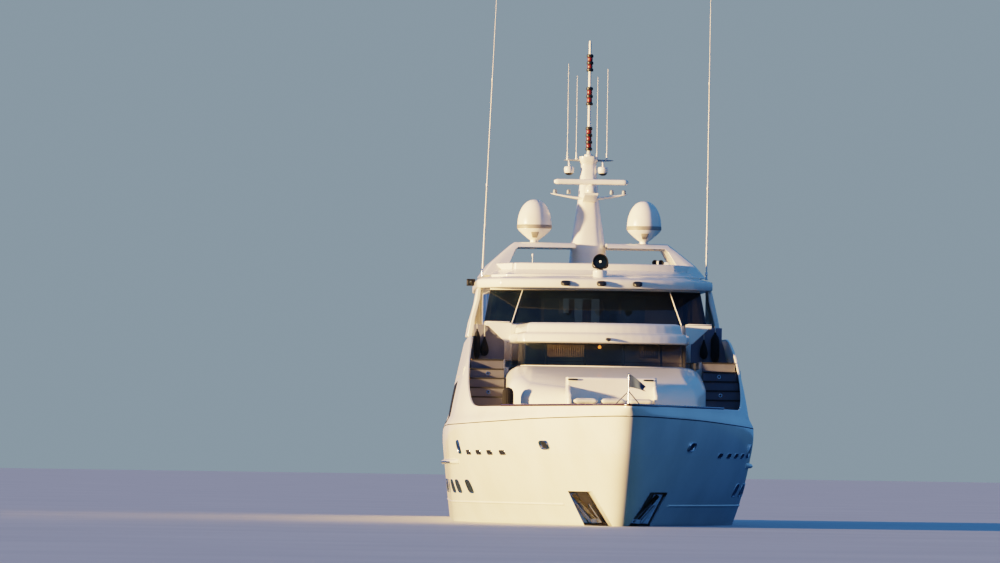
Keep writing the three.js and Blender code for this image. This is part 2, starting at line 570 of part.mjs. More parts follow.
function radarArray() {
  const bar = loft([-RADAR.half, RADAR.half].map((x) => roundedOutline(RADAR.s - RADAR.depth, RADAR.s + RADAR.depth,
    RADAR.z, RADAR.z + RADAR.thick, 40, 2).map(([s, z]) => [x, place(s), z])));
  return bar.add(turned([[0, -20 + GAP], [70, -20 + GAP], [70, 10], [0, 10]], 0, RADAR.s, RADAR.z, 16));
}

// Domes: cone, ring and cap over the arch beam
const DOME = { x: 1485, s: 20350, radius: 470, seat: 7500 + GAP };
function dome(side) {
  const cap = [];
  for (let i = 0; i <= 5; i++) {
    const angle = Math.PI / 2 * i / 5;
    cap.push([DOME.radius * Math.cos(angle), 760 + 430 * Math.sin(angle)]);
  }
  cap[5][0] = 0;
  return turned([[0, 0], [110, 0], [110, 90], [DOME.radius, 400], ...cap],
    side * DOME.x, DOME.s, DOME.seat, 20);
}

// Long whip aerials at the roof's edge
const WHIP = { x: 2960, s: 16900, length: 8000 };
function whip(side) {
  const lean = side < 0 ? 0.0367 : 0.007;
  const foot = [side * WHIP.x, WHIP.s, ROOF_TOP + GAP];
  const tip = [foot[0] + lean * WHIP.length, WHIP.s, foot[2] + WHIP.length];
  return turned([[0, 0], [45, 0], [45, 220], [0, 220]], foot[0], WHIP.s, foot[2], 8)
    .add(rod([foot[0], WHIP.s, foot[2] + 100], tip, 24, 7, 8));
}

// Searchlight: pedestal on the roof, lamp body that pans on it
const LIGHT = { x: 60, s: 15720, z: 6920, radius: 205, post: 140 };
function searchlightPost() {
  return turned([[0, -20], [200, -20], [190, 60], [150, 120], [140, LIGHT.post], [0, LIGHT.post]],
    LIGHT.x, LIGHT.s, ROOF_TOP, 14);
}
function searchlight() {
  const foot = ROOF_TOP + LIGHT.post + GAP;
  const fork = block(LIGHT.x - 55, LIGHT.x + 55, LIGHT.s - 55, LIGHT.s + 55, foot, LIGHT.z - 100);
  return fork.add(rod([LIGHT.x, LIGHT.s - 150, LIGHT.z], [LIGHT.x, LIGHT.s + 130, LIGHT.z], LIGHT.radius,
    LIGHT.radius * 0.7, 18));
}

// Underwater gear: shafts with their struts, propellers and rudders
const HULL_BODY_CLEAR = hullBody().translate([0, 0, -GAP]);
const SHAFT = { x: 1600, hullS: 26500, hullZ: -850, endS: 30820, endZ: -1560, radius: 55 };
const PROP = { radius: 470, blades: 4, hub: 300 };
function shaft(side) {
  const slope = (SHAFT.endZ - SHAFT.hullZ) / (SHAFT.endS - SHAFT.hullS);
  const line = rod([SHAFT.x, SHAFT.hullS, SHAFT.hullZ], [SHAFT.x, SHAFT.endS, SHAFT.endZ], SHAFT.radius);
  const barrelS = SHAFT.endS - 60;
  const barrel = rod([SHAFT.x, barrelS - 420, SHAFT.endZ - slope * 480], [SHAFT.x, barrelS, SHAFT.endZ - slope * 60],
    110, 100, 12);
  const strut = block(SHAFT.x - 25, SHAFT.x + 25, barrelS - 400, barrelS - 100, SHAFT.endZ, -700);
  const all = joined(line, barrel, strut).subtract(HULL_BODY_CLEAR);
  const port = all.decompose().reduce((big, part) => (part.volume() > big.volume() ? part : big));
  return side > 0 ? port : mirrored(port);
}
function propeller(side) {
  const tilt = Math.atan2(SHAFT.hullZ - SHAFT.endZ, SHAFT.endS - SHAFT.hullS);
  const ahead = PROP.hub / 2 + GAP;
  const hub = new THREE.CylinderGeometry(60, 100, PROP.hub, 16);
  const blades = [];
  for (let i = 0; i < PROP.blades; i++) {
    const outline = new THREE.Shape();
    outline.moveTo(-70, 60);
    outline.quadraticCurveTo(-250, 300, -60, PROP.radius);
    outline.quadraticCurveTo(210, 420, 90, 60);
    const blade = new THREE.ExtrudeGeometry(outline, { depth: 18, bevelEnabled: false, curveSegments: 5 });
    blade.translate(0, 0, -9);
    blade.rotateY(THREE.MathUtils.degToRad(side * 62));
    blade.rotateX(Math.PI / 2);
    blade.rotateY(i * 2 * Math.PI / PROP.blades);
    blades.push(solid(blade));
  }
  return joined(solid(hub), ...blades).rotate([-THREE.MathUtils.radToDeg(tilt), 0, 0])
    .translate([side * SHAFT.x, place(SHAFT.endS + ahead * Math.cos(tilt)), SHAFT.endZ - ahead * Math.sin(tilt)]);
}
function rudder(side) {
  const [ahead, behind] = [260, 560];
  const plan = [[0, -ahead], [RUDDER.half, -ahead * 0.4], [RUDDER.half * 0.9, 60], [8, behind],
    [-8, behind], [-RUDDER.half * 0.9, 60], [-RUDDER.half, -ahead * 0.4]];
  const blade = loft([[RUDDER.bottom, 0.85], [RUDDER.top, 1]].map(([z, k]) =>
    plan.map(([x, s]) => [side * RUDDER.x + x * k, place(RUDDER.s) + s * k, z])));
  const stock = rod([side * RUDDER.x, RUDDER.s, RUDDER.top - 50], [side * RUDDER.x, RUDDER.s, RUDDER.stockTop],
    RUDDER.stock, RUDDER.stock, 16);
  return blade.add(stock);
}

// Stern: garage door, swim platform with steps up to the cockpit
const PLATFORM = { low: 230, high: 450, half: 3100, stepsOut: 3000 };
function swimPlatform() {
  const outline = roundedOutline(-PLATFORM.half, PLATFORM.half, 33400, PLATFORM_END, 600, 5);
  const slab = upright(outline, PLATFORM.low, outline, PLATFORM.high)
    .intersect(block(-FAR, FAR, HULL_END + GAP, FAR, 0, HIGH));
  const rise = (DECK - PLATFORM.high) / 6;
  const steps = [[HULL_END + GAP, PLATFORM.high - 10]];
  for (let i = 5; i > 0; i--) {
    const back = HULL_END + GAP + (5 - i) * 240;
    steps.push([back, PLATFORM.high + i * rise], [back + 240, PLATFORM.high + i * rise]);
  }
  steps.push([HULL_END + GAP + 5 * 240, PLATFORM.high - 10]);
  const flight = sideCut(steps, TRANSOM.gateHalf, PLATFORM.stepsOut);
  return joined(slab, flight, mirrored(flight));
}
function garageDoor() {
  const clear = 6;
  return block(-GARAGE.half + clear, GARAGE.half - clear, HULL_END - 70, HULL_END,
    GARAGE.low + clear, GARAGE.high - GAP);
}

// Saloon's aft bulkhead with two sliding doors that part from the middle
const AFT_BULKHEAD = { s0: 29300, s1: 29380, open: 900, low: DECK + 60, high: 3950 };
const SLIDER = { half: 930, thick: 45, gap: 8 };
function aftBulkhead() {
  const { s0, s1, open, low, high } = AFT_BULKHEAD;
  const wall = insideHull(DECK + GAP, UPPER_DECK - UPPER_DECK_THICKNESS - GAP, s0, s1);
  return wall.subtract(block(-open, open, s0 - BITE, s1 + BITE, low, high));
}
function saloonDoor(side) {
  const s0 = AFT_BULKHEAD.s1 + SLIDER.gap;
  const leaf = block(SLIDER.gap / 2, SLIDER.half, s0, s0 + SLIDER.thick,
    DECK + GAP, AFT_BULKHEAD.high + 60);
  return side > 0 ? leaf : mirrored(leaf);
}

// Wheelhouse side doors slide aft along the outside of the wall
function wheelhouseDoor(side) {
  const x0 = HOUSE_FLOOR.waistWidth + DOOR.gap;
  const leaf = block(x0, x0 + DOOR.thick, DOOR.s0, DOOR.s1, DOOR.low, DOOR.high);
  return side > 0 ? leaf : mirrored(leaf);
}

// Side gates in the aft bulwark, hinged at their forward edge, opening inwards
function sideGate(side) {
  const clear = 7;
  const leaf = block(GATE.pivot, GATE.pivot + 50, GATE.s0 + GAP, GATE.s1 - clear, GATE.low + clear, 2740);
  return side > 0 ? leaf : mirrored(leaf);
}

// Gates across the upper side decks beside the forward room, hinged outboard, opening aft
const DECK_GATE = { inner: 2470, outer: 3425, pivot: 3285, s: 15250, thick: 45, low: UPPER_DECK + 10, high: 5200 };
function deckGate(side) {
  const { inner, outer, pivot, s, thick, low, high } = DECK_GATE;
  const leaf = frontCut([[inner, low], [outer, low], [pivot, 4880], [pivot, high], [inner, high]], s, s + thick);
  const pin = turned([[0, 0], [22, 0], [22, 20], [0, 20]], pivot - 10, s + thick / 2, UPPER_DECK + GAP, 12);
  const gate = leaf.add(pin);
  return side > 0 ? gate : mirrored(gate);
}

// Foredeck: hatch lid, jackstaff, windlass, covered capstan, anchors
function hatchLid() {
  return block(-HATCH.half - 30, HATCH.half + 30, HATCH.s0 - 30, HATCH.s1 + 30,
    DECK + HATCH.coaming + GAP, DECK + HATCH.coaming + GAP + HATCH.lid);
}
const STEM_HEAD = { s1: 1500, low: 3000 + GAP, high: 3030, inset: 20 };
const JACK = { s: 720, top: 3800 };
function jackstaff() {
  const stemHead = hullVolume([STEM_HEAD.low, STEM_HEAD.high], STEM_HEAD.inset)
    .intersect(block(-FAR, FAR, 0, STEM_HEAD.s1, 0, HIGH));
  const foot = STEM_HEAD.high - 2;
  const staff = rod([0, JACK.s, foot], [0, JACK.s, JACK.top], 16, 12, 8);
  const braces = [-1, 1].map((side) => rod([side * 300, JACK.s + 350, foot + 8], [0, JACK.s, foot + 330], 10, 10, 6));
  const plate = block(-310, 310, JACK.s + 310, JACK.s + 390, foot, foot + 14)
    .add(block(-30, 30, JACK.s - 30, JACK.s + 390, foot, foot + 14));
  return joined(stemHead, staff, plate, ...braces);
}
const WINDLASS = { x: 420, s: 3300 };
function windlass() {
  const bed = block(-600, 600, WINDLASS.s - 260, WINDLASS.s + 260, DECK + GAP, DECK + 120);
  const drums = [-1, 1].map((side) => turned([[0, 0], [170, 0], [170, 60], [100, 110], [100, 240], [160, 290],
    [160, 330], [0, 330]], side * WINDLASS.x, WINDLASS.s, DECK + 110, 16));
  return joined(bed, ...drums);
}
const CAPSTAN = { x: 2620, s: 9120, top: 3500 };
function capstan(side) {
  const h = CAPSTAN.top - DECK - GAP - (side > 0 ? 500 : 0);
  return turned([[0, 0], [210, 0], [210, 60], [150, 120], [150, h - 60], [120, h], [0, h]],
    side * CAPSTAN.x, CAPSTAN.s, DECK + GAP, 16);
}
function anchor(side) {
  const s = POCKET_BACK - GAP;
  const plate = frontCut([[330, 150], [820, 140], [1140, 760], [760, 770]], s - 60, s);
  const shank = frontCut([[560, 200], [640, 180], [1010, 760], [920, 790]], s - 190, s - 50);
  const port = plate.add(shank);
  return side > 0 ? port : mirrored(port);
}

// Wheelhouse inside: console under the windscreen and two helm seats
const HELM = { s0: 16500, s1: 17150, half: 1700, top: 5300, seatX: 700, seatS: 17900 };
function helmConsole() {
  return sideCut([[HELM.s0, UPPER_DECK + GAP], [HELM.s1, UPPER_DECK + GAP], [HELM.s1, 5150],
    [HELM.s0 + 120, HELM.top], [HELM.s0, HELM.top]], -HELM.half, HELM.half);
}
function helmSeat(side) {
  const x = side * HELM.seatX;
  const post = turned([[0, 0], [230, 0], [230, 30], [60, 60], [60, 600], [0, 600]], x, HELM.seatS, UPPER_DECK + GAP, 12);
  const pad = block(x - 280, x + 280, HELM.seatS - 270, HELM.seatS + 270, UPPER_DECK + 590, UPPER_DECK + 720);
  const back = block(x - 270, x + 270, HELM.seatS + 190, HELM.seatS + 310, UPPER_DECK + 640, UPPER_DECK + 1380);
  return joined(post, pad, back);
}

// Flying bridge: aft settee with a low back
const FLY_SETTEE = { half: 2300, s0: 22000, s1: 22650, back: 130, seat: 300, high: 420 };
function flySettee() {
  const z = ROOF_TOP + GAP;
  const { half, s0, s1 } = FLY_SETTEE;
  const seat = block(-half, half, s0, s1, z, z + FLY_SETTEE.seat);
  const back = block(-half, half, s1 - FLY_SETTEE.back, s1, z, z + FLY_SETTEE.high);
  return seat.add(back);
}

// Upper aft deck rail: bent tube on stanchions
const RAIL = { half: 2900, s0: 28000, s1: 29900, high: 1000, radius: 22 };
function aftRail() {
  const z = UPPER_DECK + GAP;
  const posts = [];
  const bars = [];
  for (const level of [RAIL.high, RAIL.high * 0.55]) {
    const corner = [[-RAIL.half, RAIL.s0], [-RAIL.half, RAIL.s1], [RAIL.half, RAIL.s1], [RAIL.half, RAIL.s0]];
    for (let i = 0; i < 3; i++) {
      bars.push(rod([...corner[i], z + level], [...corner[i + 1], z + level], RAIL.radius, RAIL.radius, 6));
    }
  }
  const feet = [[-1, 0], [-1, 0.5], [-1, 1], [-0.5, 1], [0, 1], [0.5, 1], [1, 1], [1, 0.5], [1, 0]];
  for (const [across, back] of feet) {
    const x = across * RAIL.half;
    const s = RAIL.s0 + (RAIL.s1 - RAIL.s0) * back;
    posts.push(rod([x, s, z], [x, s, z + RAIL.high], RAIL.radius, RAIL.radius, 6));
  }
  return joined(bars[0], ...bars.slice(1), ...posts);
}

const COLOURS = {
  white: [0xf1ece0, 0.25, 0], glass: [0x0b141c, 0.08, 0], steel: [0xc9ccd0, 0.25, 1],
  black: [0x15171a, 0.5, 0], teak: [0x9a6a3c, 0.7, 0], bronze: [0x9c6b33, 0.35, 1],
  antifoul: [0x1d2733, 0.8, 0], fabric: [0xe9e0cd, 0.9, 0], red: [0x6d1714, 0.4, 0], grey: [0x9aa0a4, 0.6, 0]
};
const yacht = new THREE.Group();
function add(name, manifold, colour) {
  const [color, roughness, metalness] = COLOURS[colour];
  const mesh = new THREE.Mesh(geometryOf(manifold), new THREE.MeshStandardMaterial({ color, roughness, metalness }));
  mesh.name = name;
  yacht.add(mesh);
}

add('hull', hull(), 'white');
for (const [side, name] of [[1, 'port'], [-1, 'starboard']]) {
  add(`topside_${name}`, topsides(side), 'white');
  add(`saloon_glass_${name}`, saloonGlass(side), 'glass');
  add(`stairs_${name}`, stairs(side), 'grey');
}
add('foredeck_trunk', foredeckTrunk(), 'white');
add('foredeck_settee', foredeckSettee(), 'white');
add('settee_cushion', setteeCushion(), 'fabric');
add('upper_deck', upperDeck(), 'white');
add('forward_room', forwardRoom(), 'white');
add('forward_room_glass', forwardRoomGlass(), 'glass');
add('visor_roof', visorRoof(), 'white');
add('wheelhouse', wheelhouse(), 'white');
add('wheelhouse_glass', wheelhouseGlass(), 'glass');
add('roof', roof(), 'white');
add('arch', arch(), 'white');
add('mast', mast(), 'white');
add('mast_pole', mastPole(), 'red');
add('radar_array', radarArray(), 'white');
add('searchlight', searchlight(), 'black');
add('aft_bulkhead', aftBulkhead(), 'white');
add('jackstaff', jackstaff(), 'steel');
add('windlass', windlass(), 'steel');
add('hatch_lid', hatchLid(), 'white');
add('helm_console', helmConsole(), 'black');
add('flybridge_settee', flySettee(), 'fabric');
add('aft_rail', aftRail(), 'steel');
add('swim_platform', swimPlatform(), 'teak');
add('garage_door', garageDoor(), 'white');
for (const [side, name] of [[1, 'port'], [-1, 'starboard']]) {
  add(`wing_${name}`, wing(side), 'white');
  add(`dome_${name}`, dome(side), 'white');
  add(`whip_${name}`, whip(side), 'white');
  add(`saloon_door_${name}`, saloonDoor(side), 'glass');
  add(`wheelhouse_door_${name}`, wheelhouseDoor(side), 'white');
  add(`side_gate_${name}`, sideGate(side), 'white');
  add(`deck_gate_${name}`, deckGate(side), 'white');
  add(`anchor_${name}`, anchor(side), 'steel');
  add(`capstan_${name}`, capstan(side), 'steel');
  add(`helm_seat_${name}`, helmSeat(side), 'black');
  add(`shaft_${name}`, shaft(side), 'bronze');
  add(`propeller_${name}`, propeller(side), 'bronze');
  add(`rudder_${name}`, rudder(side), 'antifoul');
}

export default yacht;
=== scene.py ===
# %% [markdown]
# Motor yacht, 37 m, seen from ahead. The CAD model is the fixed frame: +Z up, bow towards -Y, +X to port,
# origin amidships on the waterline. Stations s run aft from the tip of the bow, so Y = s - MID, with MID = 18.5 m.
# %% Frame
import bpy
import bmesh
import json
import math
import numpy as np
from mathutils import Matrix, Vector

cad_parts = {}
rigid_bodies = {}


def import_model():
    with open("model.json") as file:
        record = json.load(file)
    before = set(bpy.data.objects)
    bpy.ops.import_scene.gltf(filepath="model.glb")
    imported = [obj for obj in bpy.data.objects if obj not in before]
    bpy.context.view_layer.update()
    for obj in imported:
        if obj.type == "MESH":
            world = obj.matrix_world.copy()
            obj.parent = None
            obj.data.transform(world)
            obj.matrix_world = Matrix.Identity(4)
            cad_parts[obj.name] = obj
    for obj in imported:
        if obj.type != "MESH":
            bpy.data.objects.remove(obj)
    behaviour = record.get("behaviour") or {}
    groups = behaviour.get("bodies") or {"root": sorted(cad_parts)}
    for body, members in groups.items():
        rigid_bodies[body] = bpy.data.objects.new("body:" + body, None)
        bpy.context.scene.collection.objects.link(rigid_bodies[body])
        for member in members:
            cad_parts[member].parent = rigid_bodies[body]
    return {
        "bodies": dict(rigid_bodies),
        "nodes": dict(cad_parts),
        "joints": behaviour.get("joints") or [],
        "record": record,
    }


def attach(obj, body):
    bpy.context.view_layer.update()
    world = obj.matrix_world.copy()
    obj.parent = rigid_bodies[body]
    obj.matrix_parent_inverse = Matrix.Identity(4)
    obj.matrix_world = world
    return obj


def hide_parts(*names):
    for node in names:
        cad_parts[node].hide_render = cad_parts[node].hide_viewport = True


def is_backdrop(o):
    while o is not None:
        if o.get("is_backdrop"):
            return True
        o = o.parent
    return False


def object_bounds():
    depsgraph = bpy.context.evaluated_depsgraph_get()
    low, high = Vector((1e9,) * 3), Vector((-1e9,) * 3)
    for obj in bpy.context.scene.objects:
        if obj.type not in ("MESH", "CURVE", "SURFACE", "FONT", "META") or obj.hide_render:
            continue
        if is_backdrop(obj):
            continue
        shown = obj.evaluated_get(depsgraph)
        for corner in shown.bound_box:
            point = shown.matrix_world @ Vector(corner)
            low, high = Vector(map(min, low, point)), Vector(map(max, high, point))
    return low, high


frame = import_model()
scene = bpy.context.scene
CAD_BOX = [list(corner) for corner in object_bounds()]
print("CAD box", CAD_BOX)

# %% [markdown]
# The camera stands where the photographer stood: 205 m ahead of the bow, a little to starboard, 1.4 m above the
# waterline, with a 300 mm lens. Its place comes from known sizes in the picture. The frame leans by 0.85 degrees.
# %% Camera
HEADING, PITCH, ROLL = (math.radians(a) for a in (2.4, 1.286, 0.85))
EYE = Vector((-11.827, -223.18, 1.4))
ahead = Vector((math.sin(HEADING) * math.cos(PITCH), math.cos(HEADING) * math.cos(PITCH), math.sin(PITCH)))
sideways = Vector((math.cos(HEADING), -math.sin(HEADING), 0))
right = sideways * math.cos(ROLL) + sideways.cross(ahead) * math.sin(ROLL)
camera = bpy.data.objects.new("camera", bpy.data.cameras.new("camera"))
camera.data.lens, camera.data.sensor_width, camera.data.clip_end = 300, 36, 2000
camera.matrix_world = Matrix.Translation(EYE) @ Matrix((right, right.cross(ahead), -ahead)).transposed().to_4x4()
scene.collection.objects.link(camera)
scene.camera = camera
print("camera at", tuple(round(v, 2) for v in EYE))

# %% [markdown]
# Studio: a low warm key light from the starboard bow, as in the photo, and a cool even fill from the world. The
# plain floor lies on the waterline, so the hull stands in it as deep as it floats. The Filmic view transform keeps
# the brightest gelcoat from burning out under such a strong key light.
# %% Light
def linear(hex_colour, alpha=1.0):
    """sRGB hex to linear: ((c + 0.055) / 1.055) ** 2.4, and c / 12.92 for the darkest values."""
    c = np.array([int(hex_colour[i:i + 2], 16) for i in (1, 3, 5)]) / 255
    return (*np.where(c <= 0.04045, c / 12.92, ((c + 0.055) / 1.055) ** 2.4), alpha)


def sun(name, strength, colour, towards, spread):
    """A sun lamp that shines from the direction towards, with its disc spread degrees wide."""
    light = bpy.data.objects.new(name, bpy.data.lights.new(name, "SUN"))
    light.data.energy, light.data.color, light.data.angle = strength, linear(colour)[:3], math.radians(spread)
    light.rotation_euler = Vector(towards).to_track_quat("Z", "Y").to_euler()
    scene.collection.objects.link(light)


def add(tree, kind, links=None, **settings):
    """One node, with its settings, and links given as {input name: (node, output name)}. An underscore in a
    setting's name stands for a blank in an input's."""
    node = tree.nodes.new("ShaderNode" + kind)
    for key, value in settings.items():
        if key.replace("_", " ") in node.inputs:
            node.inputs[key.replace("_", " ")].default_value = value
        else:
            setattr(node, key, value)
    for socket, (source, output) in (links or {}).items():
        tree.links.new(source.outputs[output], node.inputs[socket])
    return node


sun("evening_key", 15.0, "#ffce90", (-0.92, -0.38, 0.06), 3)
sun("port_fill", 0.25, "#8fb4f0", (0.8, -0.7, 0.7), 60)
scene.world = bpy.data.worlds.new("studio")
scene.world.use_nodes = True
scene.view_settings.view_transform = "Filmic"
scene.view_settings.look = "Medium High Contrast"
surround = scene.world.node_tree
backdrop = surround.nodes["Background"]
backdrop.inputs["Color"].default_value, backdrop.inputs["Strength"].default_value = linear("#9fb4c4"), 0.62
fill_light = add(surround, "Background", Color=linear("#5b95db"), Strength=0.6)
blend = add(surround, "MixShader")
for source, output, socket in ((add(surround, "LightPath"), "Is Camera Ray", "Fac"), (fill_light, "Background", 1),
                               (backdrop, "Background", 2)):
    surround.links.new(source.outputs[output], blend.inputs[socket])
surround.links.new(blend.outputs["Shader"], surround.nodes["World Output"].inputs["Surface"])
print("key and fill lights ready")

# %% [markdown]
# Four small tools serve the whole yacht. put() turns arrays into a piece with its material and body, skin() does
# so for a grid of points, joined() for several shapes at once, and tube() closes a stack of rings. Every shape is an
# array of points worked out at once.
# %% Making pieces
SLOT_OF = {}


def put(name, verts, faces, material, body="root", slot=None, smooth=35, doubles=1e-6, modifiers=()):
    """Mesh from points (n, 3) and faces; the slot looked up from its material is not given to the piece. Edges
    sharper than smooth degrees stay crisp, and points closer than doubles are merged."""
    mesh = bpy.data.meshes.new(name)
    mesh.from_pydata(np.asarray(verts, float).reshape(-1, 3).tolist(), [], [list(map(int, f)) for f in faces])
    if doubles:
        merged = bmesh.new()
        merged.from_mesh(mesh)
        bmesh.ops.remove_doubles(merged, verts=merged.verts, dist=doubles)
        bmesh.ops.dissolve_degenerate(merged, edges=merged.edges, dist=1e-6)
        bmesh.ops.recalc_face_normals(merged, faces=merged.faces)
        merged.to_mesh(mesh)
        merged.free()
    mesh.polygons.foreach_set("use_smooth", np.ones(len(mesh.polygons), bool))
    mesh.set_sharp_from_angle(angle=math.radians(smooth))
    piece = bpy.data.objects.new(name, mesh)
    scene.collection.objects.link(piece)
    for kind, settings in modifiers:
        modifier = piece.modifiers.new(kind.lower(), kind)
        for key, value in settings.items():
            setattr(modifier, key, value)
    if material:
        mesh.materials.append(material)
        slot = slot or SLOT_OF.get(material.name)
    if body:
        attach(piece, body)
    return piece


def grid_faces(rows, columns, wrap=False):
    """Quads between rows x columns points; wrap joins the last column to the first."""
    i, j = np.meshgrid(np.arange(rows - 1), np.arange(columns if wrap else columns - 1), indexing="ij")
    k, a = (j + 1) % columns, i * columns
    return np.stack([a + j, a + k, a + columns + k, a + columns + j], -1).reshape(-1, 4).tolist()


def tube(rings):
    """(points, faces) of a stack of rings (rows, columns, 3) with flat ends."""
    rows, columns = rings.shape[:2]
    ends = [list(range(columns))[::-1], list(range((rows - 1) * columns, rows * columns))]
    return rings.reshape(-1, 3), grid_faces(rows, columns, True) + ends


def skin(name, points, material, wrap=False, caps=False, flip=False, **how):
    """Surface through a grid of points (rows, columns, 3); caps makes it a tube with flat ends."""
    points = np.asarray(points, float)
    faces = tube(points)[1] if caps else grid_faces(*points.shape[:2], wrap)
    if flip:
        faces = [f[::-1] for f in faces]
    how.setdefault("doubles", 1e-5 if caps else 0.0)
    return put(name, points, faces, material, **how)


def joined(name, shapes, material, **how):
    """One piece from several (points, faces) pairs."""
    start, verts, faces = 0, [], []
    for points, quads in shapes:
        verts.append(np.asarray(points, float).reshape(-1, 3))
        faces += [[start + v for v in face] for face in quads]
        start += len(verts[-1])
    return put(name, np.concatenate(verts), faces, material, **how)


def solid(thickness, offset=0.0):
    """Modifiers that give a sheet its thickness; offset -1 grows it inwards."""
    return [("SOLIDIFY", dict(thickness=thickness, offset=offset))]


def bevel(width, segments):
    """Modifiers that round every edge sharper than 30 degrees."""
    return [("BEVEL", dict(width=width, segments=segments, limit_method="ANGLE"))]


ROUNDED, SOFTER = bevel(0.012, 2), bevel(0.03, 3)
print("tools ready")

# %% [markdown]
# Finishes. A yacht is mostly moulded glassfibre with a polished gelcoat: smooth, slightly uneven in colour after
# years in the sun, with faint run-off streaks. Every pattern below has its scale in real millimetres.
# %% Shader tools
def finish(name, colour, roughness=0.5, **sockets):
    """New material on one Principled shader; returns it with its tree and shader."""
    material = bpy.data.materials.new(name)
    material.use_nodes = True
    tree = material.node_tree
    shader = tree.nodes["Principled BSDF"]
    for key, value in dict(sockets, Base_Color=linear(colour), Roughness=roughness).items():
        shader.inputs[key.replace("_", " ")].default_value = value
    return material, tree, shader


def two_tone(tree, source, colours, low, high):
    """Colour ramp from one hex colour to the other as the source's Fac goes from low to high."""
    ramp = add(tree, "ValToRGB", {"Fac": (source, "Fac")})
    for element, where, colour in zip(ramp.color_ramp.elements, (low, high), colours):
        element.position, element.color = where, linear(colour)
    return ramp


def mottle(tree, shader, colours, size, low=0.35, high=0.65):
    """Base colour wanders between two hex colours in patches of size metres."""
    place = add(tree, "TexCoord")
    turned = add(tree, "Mapping", {"Vector": (place, "Object")})
    noise = add(tree, "TexNoise", {"Vector": (turned, "Vector")}, Scale=1 / size, Detail=4.0)
    ramp = two_tone(tree, noise, colours, low, high)
    tree.links.new(ramp.outputs["Color"], shader.inputs["Base Color"])
    return noise, ramp, turned


def uneven(tree, shader, noise, low, high):
    """Roughness follows a noise between two values."""
    spread = add(tree, "MapRange", {"Value": (noise, "Fac")}, To_Min=low, To_Max=high)
    tree.links.new(spread.outputs["Result"], shader.inputs["Roughness"])


def relief(tree, shader, source, depth):
    """Bump of depth metres from a noise."""
    bump = add(tree, "Bump", {"Height": (source, "Fac")}, Distance=depth, Strength=1.0)
    tree.links.new(bump.outputs["Normal"], shader.inputs["Normal"])


def painted_over(tree, shader, under, share, colour):
    """Base colour: an output under, covered by a hex colour where share, a (node, output name), is 1."""
    cover = add(tree, "Mix", {"Factor": share}, data_type="RGBA")
    tree.links.new(under, cover.inputs[6])
    cover.inputs[7].default_value = linear(colour)
    tree.links.new(cover.outputs[2], shader.inputs["Base Color"])
    return cover.outputs[2]


# %% [markdown]
# Gelcoat: polyester sprayed into a polished mould. It is glossy with a clear top layer, cream in evening light.
# The hull's has antifouling paint below the waterline and thin vertical rain streaks above it.
# %% Gelcoat
def gelcoat(name, light="#f4efe4", dark="#e9e3d6", roughness=(0.16, 0.3)):
    """White moulding: patches of 1.7 m, streaks 40 mm wide and 1.2 m long."""
    material, tree, shader = finish(name, light, 0.22, Coat_Weight=0.35, Coat_Roughness=0.08, IOR=1.5)
    noise, ramp, turned = mottle(tree, shader, (dark, light), 1.7)
    streaks = add(tree, "Mapping", {"Vector": (turned, "Vector")}, Scale=(25, 25, 0.8))
    fine = add(tree, "TexNoise", {"Vector": (streaks, "Vector")}, Scale=1.0, Detail=3.0)
    mask = add(tree, "MapRange", {"Value": (fine, "Fac")}, From_Min=0.56, From_Max=0.8, To_Max=0.12)
    grime = painted_over(tree, shader, ramp.outputs["Color"], (mask, "Result"), "#b7a88d")
    uneven(tree, shader, fine, *roughness)
    return material, tree, shader, grime


WHITE = gelcoat("gelcoat_superstructure")[0]
HULL_WHITE, tree, shader, grime = gelcoat("gelcoat_hull_with_antifouling", "#f3ede0", "#eae3d4")
height = add(tree, "SeparateXYZ", {"Vector": (add(tree, "TexCoord"), "Object")})
below = add(tree, "Math", {"Value": (height, "Z")}, operation="LESS_THAN")
below.inputs[1].default_value = -0.02
painted_over(tree, shader, grime, (below, "Value"), "#1f2a3a")
# Greyer white for the upper deck slab: satin gelcoat, darkened as painted shade.
SHADE_WHITE = gelcoat("gelcoat_satin_painted_shade", "#e9e6df", "#dfdbd2", (0.3, 0.45))[0]
print("gelcoats", WHITE.name, HULL_WHITE.name)

# %% [markdown]
# Metals and glass. Stainless tube is polished along its length, with fine fingerprints. Yacht glass is dark grey in
# the mass, so it is nearly black from outside but shows what is near it.
# %% Metal and glass
def metal(name, colour, roughness, spread, size):
    """Metal whose polish varies in patches of size metres."""
    material, tree, shader = finish(name, colour, roughness, Metallic=1.0)
    darker = "#" + "".join(f"{int(int(colour[i:i + 2], 16) * 0.86):02x}" for i in (1, 3, 5))
    noise = mottle(tree, shader, (darker, colour), size)[0]
    uneven(tree, shader, noise, max(0.05, roughness - spread), roughness + spread)
    return material


STEEL = metal("stainless_steel_polished", "#d4d6d8", 0.18, 0.08, 0.15)
BRONZE = metal("bronze_nibral_cast", "#b98a4e", 0.34, 0.1, 0.08)
ALUMINIUM = metal("aluminium_anodised", "#b8babb", 0.36, 0.08, 0.1)


def glass(name, colour, alpha, roughness=0.04):
    """Tinted toughened glass with faint salt film, as patches of 500 mm in its polish."""
    material, tree, shader = finish(name, colour, roughness, Alpha=alpha, IOR=1.52)
    noise = mottle(tree, shader, (colour, "#16212b"), 0.5, 0.4, 0.75)[0]
    uneven(tree, shader, noise, roughness, roughness + 0.07)
    return material


TINTED = glass("glass_tinted_toughened", "#0a1118", 0.86)
SMOKED = glass("glass_smoked_windscreen", "#0a1320", 0.74)
FORWARD_GLASS = glass("glass_smoked_forward_room", "#0a1320", 0.55)
print("metals and glass ready")

